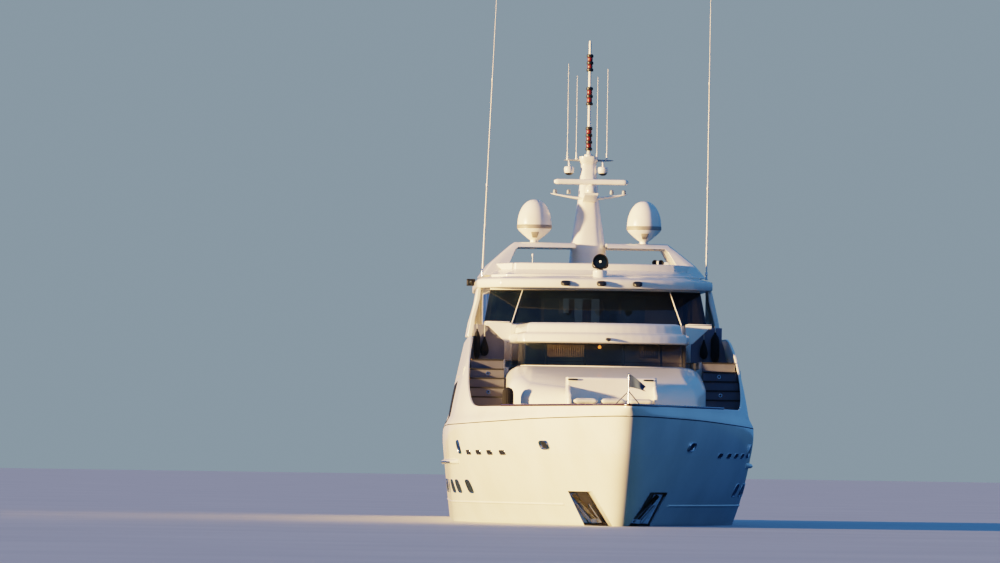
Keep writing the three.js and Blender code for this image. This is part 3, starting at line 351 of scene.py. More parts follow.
# %% [markdown]
# Paints, plastics, wood and cloth. Deck paint has grit about 1 mm across, drawn here at 6 mm so that it shows. Teak
# planks are 50 mm wide with 6 mm black caulking. Marine vinyl has a fine leather grain.
# %% Other finishes
def plain(name, light, dark, roughness, size, depth=0.0, grain=None, **sockets):
    """Colour in patches of size metres, with a raised grain of grain metres and depth metres."""
    material, tree, shader = finish(name, light, roughness, **sockets)
    noise, _, turned = mottle(tree, shader, (dark, light), size)
    uneven(tree, shader, noise, max(0.05, roughness - 0.08), min(1, roughness + 0.08))
    if grain:
        relief(tree, shader, add(tree, "TexNoise", {"Vector": (turned, "Vector")}, Scale=1 / grain, Detail=2.0),
            depth)
    return material


def planks(name, light, dark, width, seam, across="X", varnish=0.0):
    """Teak boards width metres wide with seam metres of black caulking, told apart by a triangle wave across them;
    the grain runs along the board."""
    material, tree, shader = finish(name, light, 0.55, Coat_Weight=varnish, Coat_Roughness=0.1)
    place = add(tree, "TexCoord")
    split = add(tree, "SeparateXYZ", {"Vector": (place, "Object")})
    step = add(tree, "Math", {"Value": (split, across)}, operation="PINGPONG")
    step.inputs[1].default_value = width / 2
    line = add(tree, "Math", {"Value": (step, "Value")}, operation="LESS_THAN")
    line.inputs[1].default_value = seam / 2
    stretch = (60, 2.2, 60) if across == "X" else (2.2, 60, 60)
    grain = add(tree, "Mapping", {"Vector": (place, "Object")}, Scale=stretch)
    noise = add(tree, "TexNoise", {"Vector": (grain, "Vector")}, Scale=1.0, Detail=5.0)
    wood = two_tone(tree, noise, (dark, light), 0.3, 0.7)
    painted_over(tree, shader, wood.outputs["Color"], (line, "Value"), "#17130f")
    uneven(tree, shader, noise, 0.45 - 0.3 * varnish, 0.65 - 0.35 * varnish)
    relief(tree, shader, noise, 0.0005)
    return material


def lit(name, colour, roughness, tones, glow, strength):
    """Glowing glass, mottled in patches of 30 mm. The wall lamp glows from its lamp; the searchlight bulb's glow is a
    painted glint.
    """
    material, tree, shader = finish(name, colour, roughness, Emission_Color=linear(glow), Emission_Strength=strength)
    mottle(tree, shader, tones, 0.03)
    return material


# Riser colour: grey paint, darkened further as painted shade from the side wall over the stairs.
RISER = plain("stair_riser_grey_and_painted_shade", "#636268", "#58575e", 0.5, 0.6, 0.0004, 0.006)
BLACK = plain("abs_black_moulded", "#17181a", "#222327", 0.42, 0.2, 0.0003, 0.004)
RUBBER = plain("rubber_black_epdm", "#101113", "#1b1c1e", 0.7, 0.3, 0.0004, 0.008)
DOME_WHITE = plain("radome_glassfibre_satin", "#f4efe5", "#ebe5d8", 0.33, 0.8, Coat_Weight=0.15)
RING_GREY = plain("radome_ring_paint", "#9a9184", "#8c8377", 0.5, 0.3)
# White gelcoat gate leaves, coloured grey as painted shade that falls on them.
SHADOW_WHITE = plain("gate_white_painted_shade", "#86868f", "#7a7a84", 0.45, 0.5)
GREY = plain("polyurethane_grey_paint", "#8f959b", "#83898f", 0.4, 0.4)
MAROON = plain("lamp_housing_red_paint", "#7b1d17", "#5d1511", 0.35, 0.2)
VINYL = plain("vinyl_cream_marine", "#ece5d3", "#e0d7c2", 0.5, 0.5, 0.0008, 0.004, Sheen_Weight=0.15)
LEATHER = plain("leather_black_helm", "#26221f", "#1c1917", 0.45, 0.2, 0.0006, 0.003)
CANVAS = plain("acrylic_canvas_black", "#141213", "#0c0b0c", 0.9, 0.25, 0.001, 0.003, Sheen_Weight=0.02)
FENDER = plain("fender_cover_fleece", "#15171c", "#0d0f13", 0.95, 0.12, 0.004, 0.012, Sheen_Weight=0.05)
CURTAIN = plain("polyester_pleated_tan", "#ecd29c", "#d5b87f", 0.85, 0.2, Sheen_Weight=0.3)
RED_CLOTH = plain("cotton_red", "#b8263c", "#8f1a2a", 0.85, 0.2)
ROPE = plain("polyester_rope_white", "#e3ddcd", "#cfc7b4", 0.8, 0.05, 0.003, 0.012)
ANTIFOUL = plain("antifouling_paint", "#1f2a3a", "#19222f", 0.8, 0.6, 0.0008, 0.01)
AERIAL = plain("aerial_glassfibre_white", "#f0ece2", "#e2ddd0", 0.35, 0.4)
FLAG = plain("pennant_polyester_bluegrey", "#47596f", "#3b4b60", 0.8, 0.15, 0.0006, 0.004, Sheen_Weight=0.3)
TEAK = planks("teak_deck_caulked", "#b48a58", "#94703f", 0.05, 0.006)
TEAK_ACROSS = planks("teak_steps_caulked", "#b48a58", "#94703f", 0.05, 0.006, "Y")
VARNISH = planks("teak_varnished_caprail", "#4a2c18", "#331c0e", 2.0, 0.0, varnish=1.0)
# The searchlight bulb's faint glow is a painted glint.
LENS = lit("bulb_glow_painted_glint", "#fff4dc", 0.2, ("#e8dcc0", "#fff4dc"), "#ffe2ae", 0.5)
LAMP_SHADE = lit("lamp_shade_amber_glass", "#c8641e", 0.4, ("#b9551a", "#d4742c"), "#ff8a35", 7.0)
SLOTS = {"gelcoat": (WHITE, HULL_WHITE, SHADE_WHITE, SHADOW_WHITE), "deck_paint": (RISER,), "cushion_vinyl": (VINYL,),
    "stainless": (STEEL, ALUMINIUM), "tinted_glass": (TINTED, SMOKED, FORWARD_GLASS), "mast_paint": (MAROON,),
    "dome_plastic": (DOME_WHITE, LENS), "black_plastic": (BLACK, RUBBER, GREY, RING_GREY), "bronze": (BRONZE,),
    "canvas": (CANVAS, FENDER, CURTAIN, RED_CLOTH, ROPE, FLAG), "aerial_glassfibre": (AERIAL, LAMP_SHADE),
    "teak_deck": (TEAK, TEAK_ACROSS), "varnished_teak": (VARNISH,), "seat_leather": (LEATHER,),
    "antifouling": (ANTIFOUL,)}
SLOT_OF.update({material.name: slot for slot, materials in SLOTS.items() for material in materials})
print(len(SLOT_OF), "finishes in", len(SLOTS), "slots")

# %% [markdown]
# The stage is one plain sheet at the waterline. What it throws back on the hull is darker and bluer than what the
# camera sees of it, as light comes up from a dark surface beside a floating hull.
# %% Floor at the waterline
stage_paint, tree, shader = finish("studio_floor_paint", "#b8bcc0", 0.7)
mottle(tree, shader, ("#b6bcc0", "#c0c5c8"), 6.0)
bounce = add(tree, "BsdfDiffuse", Color=linear("#40677a"))
floor_mix = add(tree, "MixShader", {"Fac": (add(tree, "LightPath"), "Is Camera Ray")})
tree.links.new(bounce.outputs["BSDF"], floor_mix.inputs[1])
tree.links.new(shader.outputs["BSDF"], floor_mix.inputs[2])
tree.links.new(floor_mix.outputs["Shader"], tree.nodes["Material Output"].inputs["Surface"])
floor = put("studio_floor", [(-900, -900, 0), (900, -900, 0), (900, 1500, 0), (-900, 1500, 0)], [(0, 1, 2, 3)],
    stage_paint, body=None, doubles=0)
floor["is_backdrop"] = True
print("floor at the waterline")

# %% [markdown]
# The hull's shape. Real yachts are drawn as a table of offsets: the half-breadth at each station and height. Here
# the same numbers as in the CAD go through smooth curves, so the surface is fair where the CAD solid has flats.
# %% Hull form
MID, TRANSOM_S, DECK_Z, WALL = 18.5, 34.2, 1.8, 0.16
BREADTH = [(0, 3.72), (0.93, 3.85), (1.57, 3.93), (2.3, 4.0), (2.9, 3.93), (4.9, 3.48)]
FULL_AT = [(0, 16.5), (0.93, 14.6), (2.3, 13.2), (4.9, 13.0)]
JOINT_LINE = [(0, 2.74), (5, 2.68), (8.5, 2.6), (12, 2.54), (20, 2.52), (34, 2.5)]
CAP_LINE = [(-0.5, 3.0), (9.6, 3.0), (10.6, 3.1), (11.6, 3.6), (12.6, 4.27), (13.5, 4.7), (14.4, 4.87), (15.5, 4.9),
    (18, 4.9), (27.3, 4.9), (28.2, 4.7), (28.9, 4.0), (29.6, 3.3), (30.3, 2.87), (31.0, 2.75), (35, 2.75)]


def fair(table, v):
    """Curve through (where, value) rows: cubic Hermite with slopes averaged from the rows on each side."""
    x, y = np.array(table, float).T
    secant = np.diff(y) / np.diff(x)
    slope = np.concatenate([secant[:1], (secant[:-1] + secant[1:]) / 2, secant[-1:]])
    slope[1:-1][secant[:-1] * secant[1:] <= 0] = 0
    v = np.clip(v, x[0], x[-1])
    i = np.clip(np.searchsorted(x, v, side="right") - 1, 0, len(x) - 2)
    h = x[i + 1] - x[i]
    t = (v - x[i]) / h
    t2, t3 = t ** 2, t ** 3
    near = (2 * t3 - 3 * t2 + 1) * y[i] + (t3 - 2 * t2 + t) * h * slope[i]
    return near + (3 * t2 - 2 * t3) * y[i + 1] + (t3 - t2) * h * slope[i + 1]


def stem(z):
    """Station of the stem at a height: raked above the waterline, a rounded forefoot below it."""
    z = np.asarray(z, float)
    above = 3.4 * np.clip(1 - z / 2.95, 0, 1) ** 1.15
    slope = 3.4 * 1.15 / 2.95
    below = 3.4 - slope * z + (5.1 - slope * 1.5) * (z / 1.5) ** 2
    return np.where(z >= 0, above, below)


def taper(s):
    """Share of the breadth kept at a station aft of amidships."""
    return 1 - 0.155 * np.clip((s - 15) / 19.2, 0, 1) ** 1.1


def nose(b, radius=0.56):
    """Rounds the stem: b becomes sqrt(b^2 + 2 r b e^(-1.2 b)), a parabola at the bow that dies out aft."""
    return np.sqrt(b * b + 2 * radius * b * np.exp(-1.2 * b))


def breadth(s, z):
    """Half-breadth: B(z) (1 - (1 - t)^1.5) taper, where t runs from the stem to the fullest station."""
    start = stem(z)
    t = np.clip((s - start) / (fair(FULL_AT, z) - start), 0, 1)
    return nose(fair(BREADTH, z) * (1 - (1 - t) ** 1.5) * taper(s))


def lean(s, z):
    """How far the bulwark lies inside the hull's line above its joint: 0.1 t^2 (3 - 2t) over 0.3 m of height."""
    t = np.clip((z - fair(JOINT_LINE, s)) / 0.3, 0, 1)
    return 0.1 * t * t * (3 - 2 * t)


def outer_face(s, z):
    """Half-breadth of the outer face: b - lean b / (b + 0.15), so that the lean vanishes at the stem."""
    b = breadth(s, z)
    return b - lean(s, z) * b / (b + 0.15)


def inside(s, z, wall=WALL):
    """Half-breadth of a face wall metres inside the hull's line: b - wall sqrt(1 + (db/ds)^2)."""
    slope = (breadth(s + 0.05, z) - breadth(s - 0.05, z)) / 0.1
    return breadth(s, z) - wall * np.sqrt(1 + slope ** 2)


def at_hull(s, z, out=0.0, side=1):
    """Point on the hull, moved out along its normal (1, -db/ds, -db/dz)."""
    s, z = np.broadcast_arrays(np.asarray(s, float), np.asarray(z, float))
    e = 0.02
    ds = (outer_face(s + e, z) - outer_face(s - e, z)) / (2 * e)
    dz = (outer_face(s, z + e) - outer_face(s, z - e)) / (2 * e)
    normal = np.stack([np.ones_like(ds), -ds, -dz], -1)
    normal /= np.linalg.norm(normal, axis=-1, keepdims=True)
    point = np.stack([outer_face(s, z), s - MID, z], -1) + normal * np.asarray(out, float)[..., None]
    return point * (side, 1, 1)


def cut(piece, cutters, smooth=35):
    """Boolean difference with closed shapes, none of which overlap. The carved piece must stay inside the box of the
    whole one, or the solver took the inside for the outside."""
    before = np.array(piece.bound_box)
    tool = joined(piece.name + "_cutter", cutters, None, body=None, doubles=1e-5)
    modifier = piece.modifiers.new("cut", "BOOLEAN")
    modifier.object, modifier.solver, modifier.operation = tool, "EXACT", "DIFFERENCE"
    graph = bpy.context.evaluated_depsgraph_get()
    carved = bpy.data.meshes.new_from_object(piece.evaluated_get(graph))
    piece.modifiers.remove(modifier)
    old, piece.data = piece.data, carved
    bpy.data.meshes.remove(old)
    bpy.data.objects.remove(tool)
    carved.polygons.foreach_set("use_smooth", np.ones(len(carved.polygons), bool))
    carved.set_sharp_from_angle(angle=math.radians(smooth))
    after = np.array([v.co for v in carved.vertices])
    if not len(after) or (after < before.min(0) - 1e-3).any() or (after > before.max(0) + 1e-3).any():
        raise ValueError(f"{piece.name}: the cut left nothing or pieces outside")
    return piece


def prism(outline, low, high, axis=1):
    """Closed bar: outline (n, 2) carried from low to high along an axis (0, 1 or 2)."""
    return tube(np.stack([np.insert(np.asarray(outline, float), axis, value, axis=1) for value in (low, high)]))


def side_prism(outline, low, high):
    """Closed bar with a side-view outline of (station, height), from x = low to high."""
    return prism([(s - MID, z) for s, z in outline], low, high, axis=0)


def plan_stack(outline, rows, centre=(0, 0)):
    """Rings (rows, n, 3): a plan outline scaled by each row's share about its centre and lifted to its height."""
    return np.stack([np.insert(outline * share + centre, 2, z, axis=1) for share, z in rows])


def block(low, high):
    """(points, faces) of a box between two corners."""
    (x0, y0, z0), (x1, y1, z1) = low, high
    return prism([(x0, y0), (x1, y0), (x1, y1), (x0, y1)], z0, z1, axis=2)


def mirror(shape):
    """The same (points, faces) on the other side of the centreline."""
    points, faces = shape
    return points * (-1, 1, 1), [list(f)[::-1] for f in faces]


def on_side(shapes, side):
    """Shapes drawn for the port side, mirrored when the side is -1."""
    return shapes if side > 0 else [mirror(shape) for shape in shapes]


def both_sides(*shapes):
    """Shapes drawn for the port side, and their mirrored twins."""
    return [*shapes, *map(mirror, shapes)]


def oval(width, height, power=2.0, count=32):
    """Superellipse |u|^p + |v|^p = 1: power 2 is an ellipse, 5 a rounded rectangle."""
    a = np.linspace(0, 2 * np.pi, count, endpoint=False)
    u, v = (np.sign(wave) * np.abs(wave) ** (2 / power) for wave in (np.cos(a), np.sin(a)))
    return np.stack([width / 2 * u, height / 2 * v], -1)


print("half-breadth amidships", round(float(breadth(18.5, 2.3)), 3))

# %% [markdown]
# Hull shell. The moulded hull is one closed skin from keel to deck edge, with the deck and the flat transom. The
# anchor pockets, the tender garage and the hatch well are cut out of it, as they are let into a real moulding.
# %% Hull shell
def hull_shell(along=190):
    """Rings from the stem to the transom; rows are shares of the draught below the waterline and heights above."""
    f = np.linspace(0, 1, along)[:, None] ** 1.9
    depth = np.linspace(1, 0, 15)[None, :-1] ** 1.3
    z_line = -depth * 1.5
    start = stem(z_line)
    s = start + (TRANSOM_S - start) * f
    t = np.clip((s - start) / (16.5 + 1.5 * depth - start), 0, 1)
    full = np.clip((s - 4) / 12, 0, 1)
    full = full * full * (3 - 2 * full)
    share = (1 - full) * (1 - depth) ** 0.9 + full * (1 - depth ** 2.4) ** 0.6
    x = nose(3.72 * (1 - (1 - t) ** 1.5) * taper(s) * share, 0.56 * (1 - depth) ** 2)
    draft = 1.5 - 0.8 * np.clip((s - 20) / 14.2, 0, 1) ** 1.5
    lower = np.stack([x, s - MID, -depth * draft], -1)
    z = np.broadcast_to(np.linspace(0, DECK_Z, 19)[None], (along, 19))
    s = stem(z) + (TRANSOM_S - stem(z)) * f
    upper = np.stack([breadth(s, z), s - MID, z], -1)
    side = np.concatenate([lower, upper], 1)
    edge = side[:, -1:]
    deck = edge * np.stack([np.linspace(1, -1, 9)[1:-1], np.ones(7), np.ones(7)], -1)
    other = side[:, :0:-1] * (-1, 1, 1)
    ring = np.concatenate([side, deck, other], 1)
    ring[0, :, 0] = 0
    return ring


POCKET = np.array([(0.2, 0.0), (0.83, 0.0), (1.26, 0.86), (0.74, 0.86)])
POCKET_BACK = 5.95
hull = skin("hull_shell", hull_shell(), HULL_WHITE, caps=True, smooth=40)
pockets = [prism(POCKET * (k, 1), 1.0 - MID, POCKET_BACK - MID) for k in (1, -1)]
garage = prism([(-1.3, 0.65), (1.3, 0.65), (1.3, 1.65), (-1.3, 1.65)], 31.2 - MID, 34.4 - MID)
hatch_well = block((-0.3, -14.15, 1.4), (0.3, -13.55, 2.3))
rudder_trunks = [prism(oval(0.12, 0.12) + (k * 1.6, 13.8), -1.4, -0.52, axis=2) for k in (1, -1)]
cut(hull, [*pockets, garage, hatch_well, *rudder_trunks], smooth=30)
HATCH = (0, 4.65 - MID)
inner = plan_stack(oval(0.6, 0.6, 40, 32), [(1, 1.7), (1, 1.91), (1.01, 1.92)], HATCH)
outer = plan_stack(oval(0.7, 0.7, 40, 32), [(0.99, 1.92), (1, 1.91), (1, 1.79)], HATCH)
skin("hatch_coaming", [*inner, *outer], WHITE, wrap=True)
keel_line = [(8.6, -1.4), (10.5, -1.75), (28.5, -1.75), (29.5, -0.9), (12, -0.9)]
put("keel", *side_prism(keel_line, -0.11, 0.11), ANTIFOUL, doubles=1e-5, modifiers=SOFTER)
put("transom_wall", *block((-1.5, 33.95 - MID, 1.79), (1.5, 34.2 - MID, 2.75)), WHITE, doubles=1e-5,
    modifiers=bevel(0.05, 4))
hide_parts("hull")
print("hull", len(hull.data.polygons), "faces")

# %% [markdown]
# Fittings are bars, turned parts and patches. A bar is a ring carried along a path, a turned part is a profile
# swept about an axis, and a patch is a dish of rings laid on the hull's own surface, as a real porthole is.
# %% Shapes for fittings
def bent(corners, radius=0.05, steps=5):
    """Path through corners with each one rounded by a quadratic curve that starts radius before it."""
    corners = np.asarray(corners, float)
    t = np.linspace(0, 1, steps)[:, None]
    rows = [corners[:1]]
    for before, corner, after in zip(corners[:-2], corners[1:-1], corners[2:]):
        legs = [end - corner for end in (before, after)]
        near, far = (corner + leg * min(0.5, radius / np.linalg.norm(leg)) for leg in legs)
        rows.append((1 - t) ** 2 * near + 2 * t * (1 - t) * corner + t ** 2 * far)
    return np.concatenate([*rows, corners[-1:]])


def bar(path, radius, sides=10):
    """(points, faces) of a round bar: circles of the given radius in the planes across the path, ends closed."""
    path = np.asarray(path, float)
    ahead = np.gradient(path, axis=0)
    ahead /= np.linalg.norm(ahead, axis=1, keepdims=True)
    flat = np.eye(3)[np.argmin(np.abs(ahead).sum(0))]
    across = np.cross(flat, ahead)
    across /= np.linalg.norm(across, axis=1, keepdims=True)
    over = np.cross(ahead, across)
    a = np.linspace(0, 2 * np.pi, sides, endpoint=False)[None, :, None]
    size = np.broadcast_to(np.asarray(radius, float), len(path))[:, None, None]
    rings = path[:, None] + size * (np.cos(a) * across[:, None] + np.sin(a) * over[:, None])
    return tube(rings)


def turned(profile, at=(0, 0, 0), sides=32, axis=2):
    """(points, faces) of (radius, height) rows swept about an axis through at, closed at both ends."""
    r, h = np.asarray(profile, float).T
    a = np.linspace(0, 2 * np.pi, sides, endpoint=False)
    u, v, w = r[:, None] * np.cos(a), r[:, None] * np.sin(a), np.broadcast_to(h[:, None], (len(r), sides))
    order = {2: (u, v, w), 1: (u, w, v), 0: (w, u, v)}[axis]
    return tube(np.stack(order, -1) + at)


def patch(s, z, width, height, rows, side, power=2.0, count=40):
    """(points, faces) on the hull: ovals scaled by each row's share and moved out by its distance."""
    edge = oval(width, height, power, count)
    share, out = np.asarray(rows, float).T
    where = s + share[:, None] * edge[:, 0]
    points = at_hull(where, z + share[:, None] * edge[:, 1], out[:, None] + np.zeros(where.shape), side)
    return points.reshape(-1, 3), grid_faces(len(share), count, True)


SIDES = (("port", 1), ("starboard", -1))
both = [side for _, side in SIDES]
print("shapes ready")

# %% [markdown]
# Topsides. The bulwark round the foredeck sweeps up into the side wall of the saloon and down to the cockpit. Each
# side is one moulding with a rounded top, so it is a ring of outer wall, cap and inner wall carried from the stem to
# the transom. Its height follows the cap line, and the station of each row starts at the raked stem.
# %% Topsides
STEM_DEPTH = 0.352


def wall_ring(rows=26, along=190):
    """Rings (along, n, 3): z = deck + (cap(s) - deck) v outside, an arc over the cap, and the same on the inner
    face. A few passes settle the station and the height of each point, as each depends on the other."""
    u = np.linspace(0, 1, along)[:, None] ** 1.9
    v = np.linspace(0, 1, rows)[None]

    def face(inset, top):
        z = DECK_Z + (3.0 - DECK_Z) * v + 0 * u
        for _ in range(8):
            start = stem(z) + (STEM_DEPTH if inset else 0)
            s = start + (TRANSOM_S - start) * u
            z = DECK_Z + (fair(CAP_LINE, s) - top - DECK_Z) * v
        x = np.maximum(0, inside(s, z, inset)) if inset else outer_face(s, z)
        x[0] = 0
        return np.stack([x, s - MID, z], -1)

    round_off = 0.05
    outer, inner = face(0, round_off), face(WALL, round_off)
    a = np.linspace(0, np.pi, 9)[1:-1][None, :, None]
    middle, reach = (outer[:, -1:] + inner[:, -1:]) / 2, (outer[:, -1:] - inner[:, -1:]) / 2
    top = middle + reach * np.sign(np.cos(a)) * np.abs(np.cos(a)) ** 0.5
    top = top + round_off * np.abs(np.sin(a)) ** 0.5 * (0, 0, 1)
    return np.concatenate([outer, top, inner[:, ::-1]], 1)


SALOON_WINDOWS = [(16.3, 18.7), (19.1, 21.5), (21.9, 24.3), (24.7, 27.1)]
SALOON_SILL, SALOON_HEAD = 2.6, 3.7
GATE = (31.4, 32.3)


def window_cut(s0, s1, z0, z1, low=2.5, high=5.0):
    """Closed cutter along X with a rounded outline."""
    middle = ((s0 + s1) / 2 - MID, (z0 + z1) / 2)
    return prism(oval(s1 - s0, z1 - z0, 6.0, 40) + middle, low, high, axis=0)


ring = wall_ring()
openings = [window_cut(s0, s1, SALOON_SILL, SALOON_HEAD) for s0, s1 in SALOON_WINDOWS]
openings.append(block((2.5, GATE[0] - MID, 1.86), (5.0, GATE[1] - MID, 6.0)))
for name, side in SIDES:
    wall = skin(f"topsides_{name}", ring * (side, 1, 1), WHITE, caps=True, smooth=40, doubles=1e-6, flip=side < 0)
    cut(wall, on_side(openings, side), smooth=30)
    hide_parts(f"topside_{name}")
    print(wall.name, len(wall.data.polygons), "faces")

# %% [markdown]
# On the side lie a thin dark strip under the white bulwark band, a rub rail with a steel half-round, a low spray
# rail and a varnished rail on the cap. Each is a small profile of (out, height) points carried along the hull.
# %% Rails along the side
def along_side(profile, stations, heights, side, out):
    """(points, faces) of a closed profile (out, up) carried along the hull at stations and heights."""
    profile = np.asarray(profile, float)
    reach = profile[None, :, 0] * np.broadcast_to(out, len(stations))[:, None]
    z = np.broadcast_to(heights, len(stations))[:, None] + profile[None, :, 1]
    points = at_hull(stations[:, None] + 0 * z, z, reach, 1)
    points[..., 0] = np.maximum(points[..., 0], 0)
    return tube(points * (side, 1, 1))


def half_round(depth, height):
    """Profile that bulges depth out of the side, height tall, its back sunk 10 mm into it."""
    a = np.linspace(-np.pi / 2, np.pi / 2, 9)
    return [(-0.01, -height / 2), *zip(depth * np.cos(a), height / 2 * np.sin(a)), (-0.01, height / 2)]


RUB_Z, RUB_DEPTH, SPRAY_Z = 1.57, 0.1, 0.52
joint_at = 0.165 + 31.035 * np.linspace(0, 1, 150) ** 1.9
rub_at = np.linspace(12.1, 34.15, 120)
swell = np.clip((rub_at - 12.1) / 0.7, 0.02, 1) ** 0.5
spray_at = np.linspace(5.5, 33.9, 110)
cap_at = 0.003 + 7.8 * np.linspace(0, 1, 70) ** 1.9
strip = [(-0.01, -0.011), (0.004, -0.011), (0.004, 0.011), (-0.01, 0.011)]
rail = [(-0.085, -0.01), (-0.09, 0.02), (-0.08, 0.042), (-0.015, 0.048), (0.008, 0.04), (0.015, 0.018),
    (0.006, -0.01)]
for name, profile, stations, heights, out, finish_of in (
        ("sheer_joint_line", strip, joint_at, fair(JOINT_LINE, joint_at), 1.0, RUBBER),
        ("rub_rail", half_round(RUB_DEPTH, 0.13), rub_at, RUB_Z, swell, HULL_WHITE),
        ("rub_rail_steel", np.array(half_round(0.013, 0.05)) + (0.09, 0), rub_at[4:], RUB_Z, 1.0, STEEL),
        ("spray_rail", half_round(0.022, 0.05), spray_at, SPRAY_Z, 1.0, HULL_WHITE),
        ("cap_rail", rail, cap_at, fair(CAP_LINE, cap_at), 1.0, VARNISH)):
    joined(name, [along_side(profile, stations, heights, side, out) for side in both], finish_of, doubles=1e-5)
print("rails", rub_at[0], "to", rub_at[-1])

# %% [markdown]
# Openings in the side: oval portholes with a polished rim, freeing ports that drain the foredeck, and mooring
# fairleads with a thick steel lip. The freeing ports and the fairleads' mouths are black dishes on the hull, painted
# shade in place of open holes. All are dishes of ovals laid on the hull's surface.
# %% Portholes, freeing ports and fairleads
PORTHOLES = [11.9, 13.15, 13.95, 15.3, 18.6, 19.85, 21.1, 24.2, 25.45, 26.7]
FREEING = [(s, 0.36, 1.815) for s in (7.97, 8.92, 9.83, 10.74)]
FAIRLEADS = [(5.0, 2.02, 0.44, 0.2), (11.6, 1.95, 0.2, 0.3)]
RIM = [(1.1, -0.004), (1.1, 0.008), (1.06, 0.016), (0.98, 0.016), (0.92, 0.008), (0.92, -0.004)]
MOUTH = [(1.0, -0.004), (1.0, 0.01), (0.5, 0.012), (0, 0.012)]
DISC = [(0.95, -0.004), (0.95, 0.005), (0.6, 0.006), (0.02, 0.007), (0.0, 0.007)]
LIP = [(1.25, -0.004), (1.24, 0.02), (1.14, 0.045), (0.98, 0.05), (0.86, 0.035), (0.8, 0.0)]
rims, panes, slots, mouths, lips = [], [], [], [], []
for side in both:
    for s in PORTHOLES:
        rims.append(patch(s, 0.93, 0.5, 0.33, RIM, side, power=3.2))
        panes.append(patch(s, 0.93, 0.5, 0.33, DISC, side, power=3.2))
    for s, wide, z in FREEING:
        # Black dish: painted shade of the open freeing port.
        slots.append(patch(s, z, wide, 0.11, DISC, side, power=5))
        lips.append(patch(s, z, wide * 1.06, 0.12, RIM, side, power=5))
    for s, z, wide, tall in FAIRLEADS:
        # Black dish: painted shade inside the fairlead's mouth.
        mouths.append(patch(s, z, wide * 0.9, tall * 0.9, MOUTH, side, power=3))
        lips.append(patch(s, z, wide, tall, LIP, side, power=3))
for name, shapes, finish_of in (
        ("porthole_rims", rims, STEEL), ("porthole_glass", panes, TINTED), ("freeing_ports", slots, BLACK),
        ("fairlead_mouths", mouths, BLACK), ("fairlead_lips", lips, STEEL)):
    joined(name, shapes, finish_of, doubles=1e-5)
print(len(PORTHOLES), "portholes a side")

# %% [markdown]
# Deckhouses. Every house is drawn in plan as a shallow curved front, a corner, a shoulder and two straight sides.
# The same plan, moved inwards and lifted, gives walls, sills and roofs, so the houses stay in step as on the lines
# plan of a real yacht. Corner cutting rounds the plan as the mould's corners are rounded.
# %% House plans
HOUSES = {
    # front, corner, half width there, shoulder, half width, waist, half width, aft end, half width
    "trunk": (8.5, 9.3, 2.25, 10.4, 2.58, 12.95, 2.54, 15.5, 2.5),
    "room_low": (11.76, 12.3, 2.06, 12.9, 2.18, 14.2, 2.235, 15.5, 2.29),
    "room_high": (11.9, 12.44, 2.01, 13.0, 2.18, 14.25, 2.235, 15.5, 2.29),
    "visor": (11.48, 12.0, 2.13, 12.6, 2.26, 14.05, 2.325, 15.5, 2.39),
    "house_floor": (15.5, 15.6, 2.5, 16.5, 2.98, 17.3, 2.72, 24.0, 2.72),
    "house_sill": (15.5, 15.85, 2.27, 16.5, 2.98, 17.3, 2.72, 24.0, 2.72),
    "house_head": (16.0, 16.35, 1.95, 16.85, 2.8, 17.3, 2.72, 24.0, 2.72),
    "roof": (15.28, 15.95, 2.6, 17.0, 3.15, 20.85, 3.1, 24.7, 2.97),
    "coaming": (16.8, 17.15, 2.15, 18.1, 2.61, 18.15, 2.612, 24.5, 2.65),
    "slope_foot": (15.78, 16.35, 2.42, 17.05, 2.82, 17.45, 2.65, 24.55, 2.65),
}
AFT_CORNER = 0.3
SOFT = {"trunk": 0.7, "visor": 0.35, "roof": 0.4, "coaming": 0.4, "slope_foot": 0.4}


def plan(house, inset=0.0, cuts=2):
    """Plan outline (n, 2) in x and y: front + (corner - front) k^2 for k from -1 to 1, then the side points. Two
    points close to each corner hold the sides straight, and each corner is then cut at a quarter of its edges."""
    front, corner, corner_x, shoulder, shoulder_x, waist, waist_x, aft, aft_x = HOUSES[house]
    k = np.linspace(-1, 1, 19)
    arc = np.stack([k * (corner_x - inset * 0.6), front + inset + (corner - front) * k * k], -1)
    x, s = aft_x - inset, aft - inset
    side = np.array([(shoulder_x - inset, shoulder + inset * 0.4), (waist_x - inset, waist), (x, s - AFT_CORNER),
        (x, s), (x - AFT_CORNER, s)])
    ring = np.concatenate([arc, side, side[::-1] * (-1, 1)])
    edge = np.roll(ring, -1, axis=0) - ring
    share = np.minimum(0.34, SOFT.get(house, 0.12) / np.linalg.norm(edge, axis=1, keepdims=True))
    ring = np.stack([ring, ring + share * edge, ring + (1 - share) * edge], 1).reshape(-1, 2)
    for _ in range(cuts):
        after = np.roll(ring, -1, axis=0)
        ring = np.stack([0.75 * ring + 0.25 * after, 0.25 * ring + 0.75 * after], 1).reshape(-1, 2)
    return ring - (0, MID)


def level(house, inset, z, towards=None, share=0.0):
    """Ring (n, 3) of a plan at height z, moved by share towards another house's plan."""
    ring = plan(house, inset)
    if towards:
        ring = ring + (plan(towards, inset) - ring) * share
    return np.insert(ring, 2, z, axis=1)


def shell(name, outside, inside, material, **how):
    """Hollow wall: rings up the outside, then down the inside, closed at head and foot."""
    rings = np.stack([*outside, *inside[::-1], outside[0]])
    return skin(name, rings, material, wrap=True, doubles=1e-5, **how)


print(len(HOUSES), "house plans,", len(plan("roof")), "points each")

# %% [markdown]
# Foredeck trunk. The coachroof under the forward room rises from a low rounded front to the sill of the windows, as
# rings of one plan that shrink, climb a sloping plane and turn into the room's own plan.
# %% Foredeck trunk
SILL = 4.08


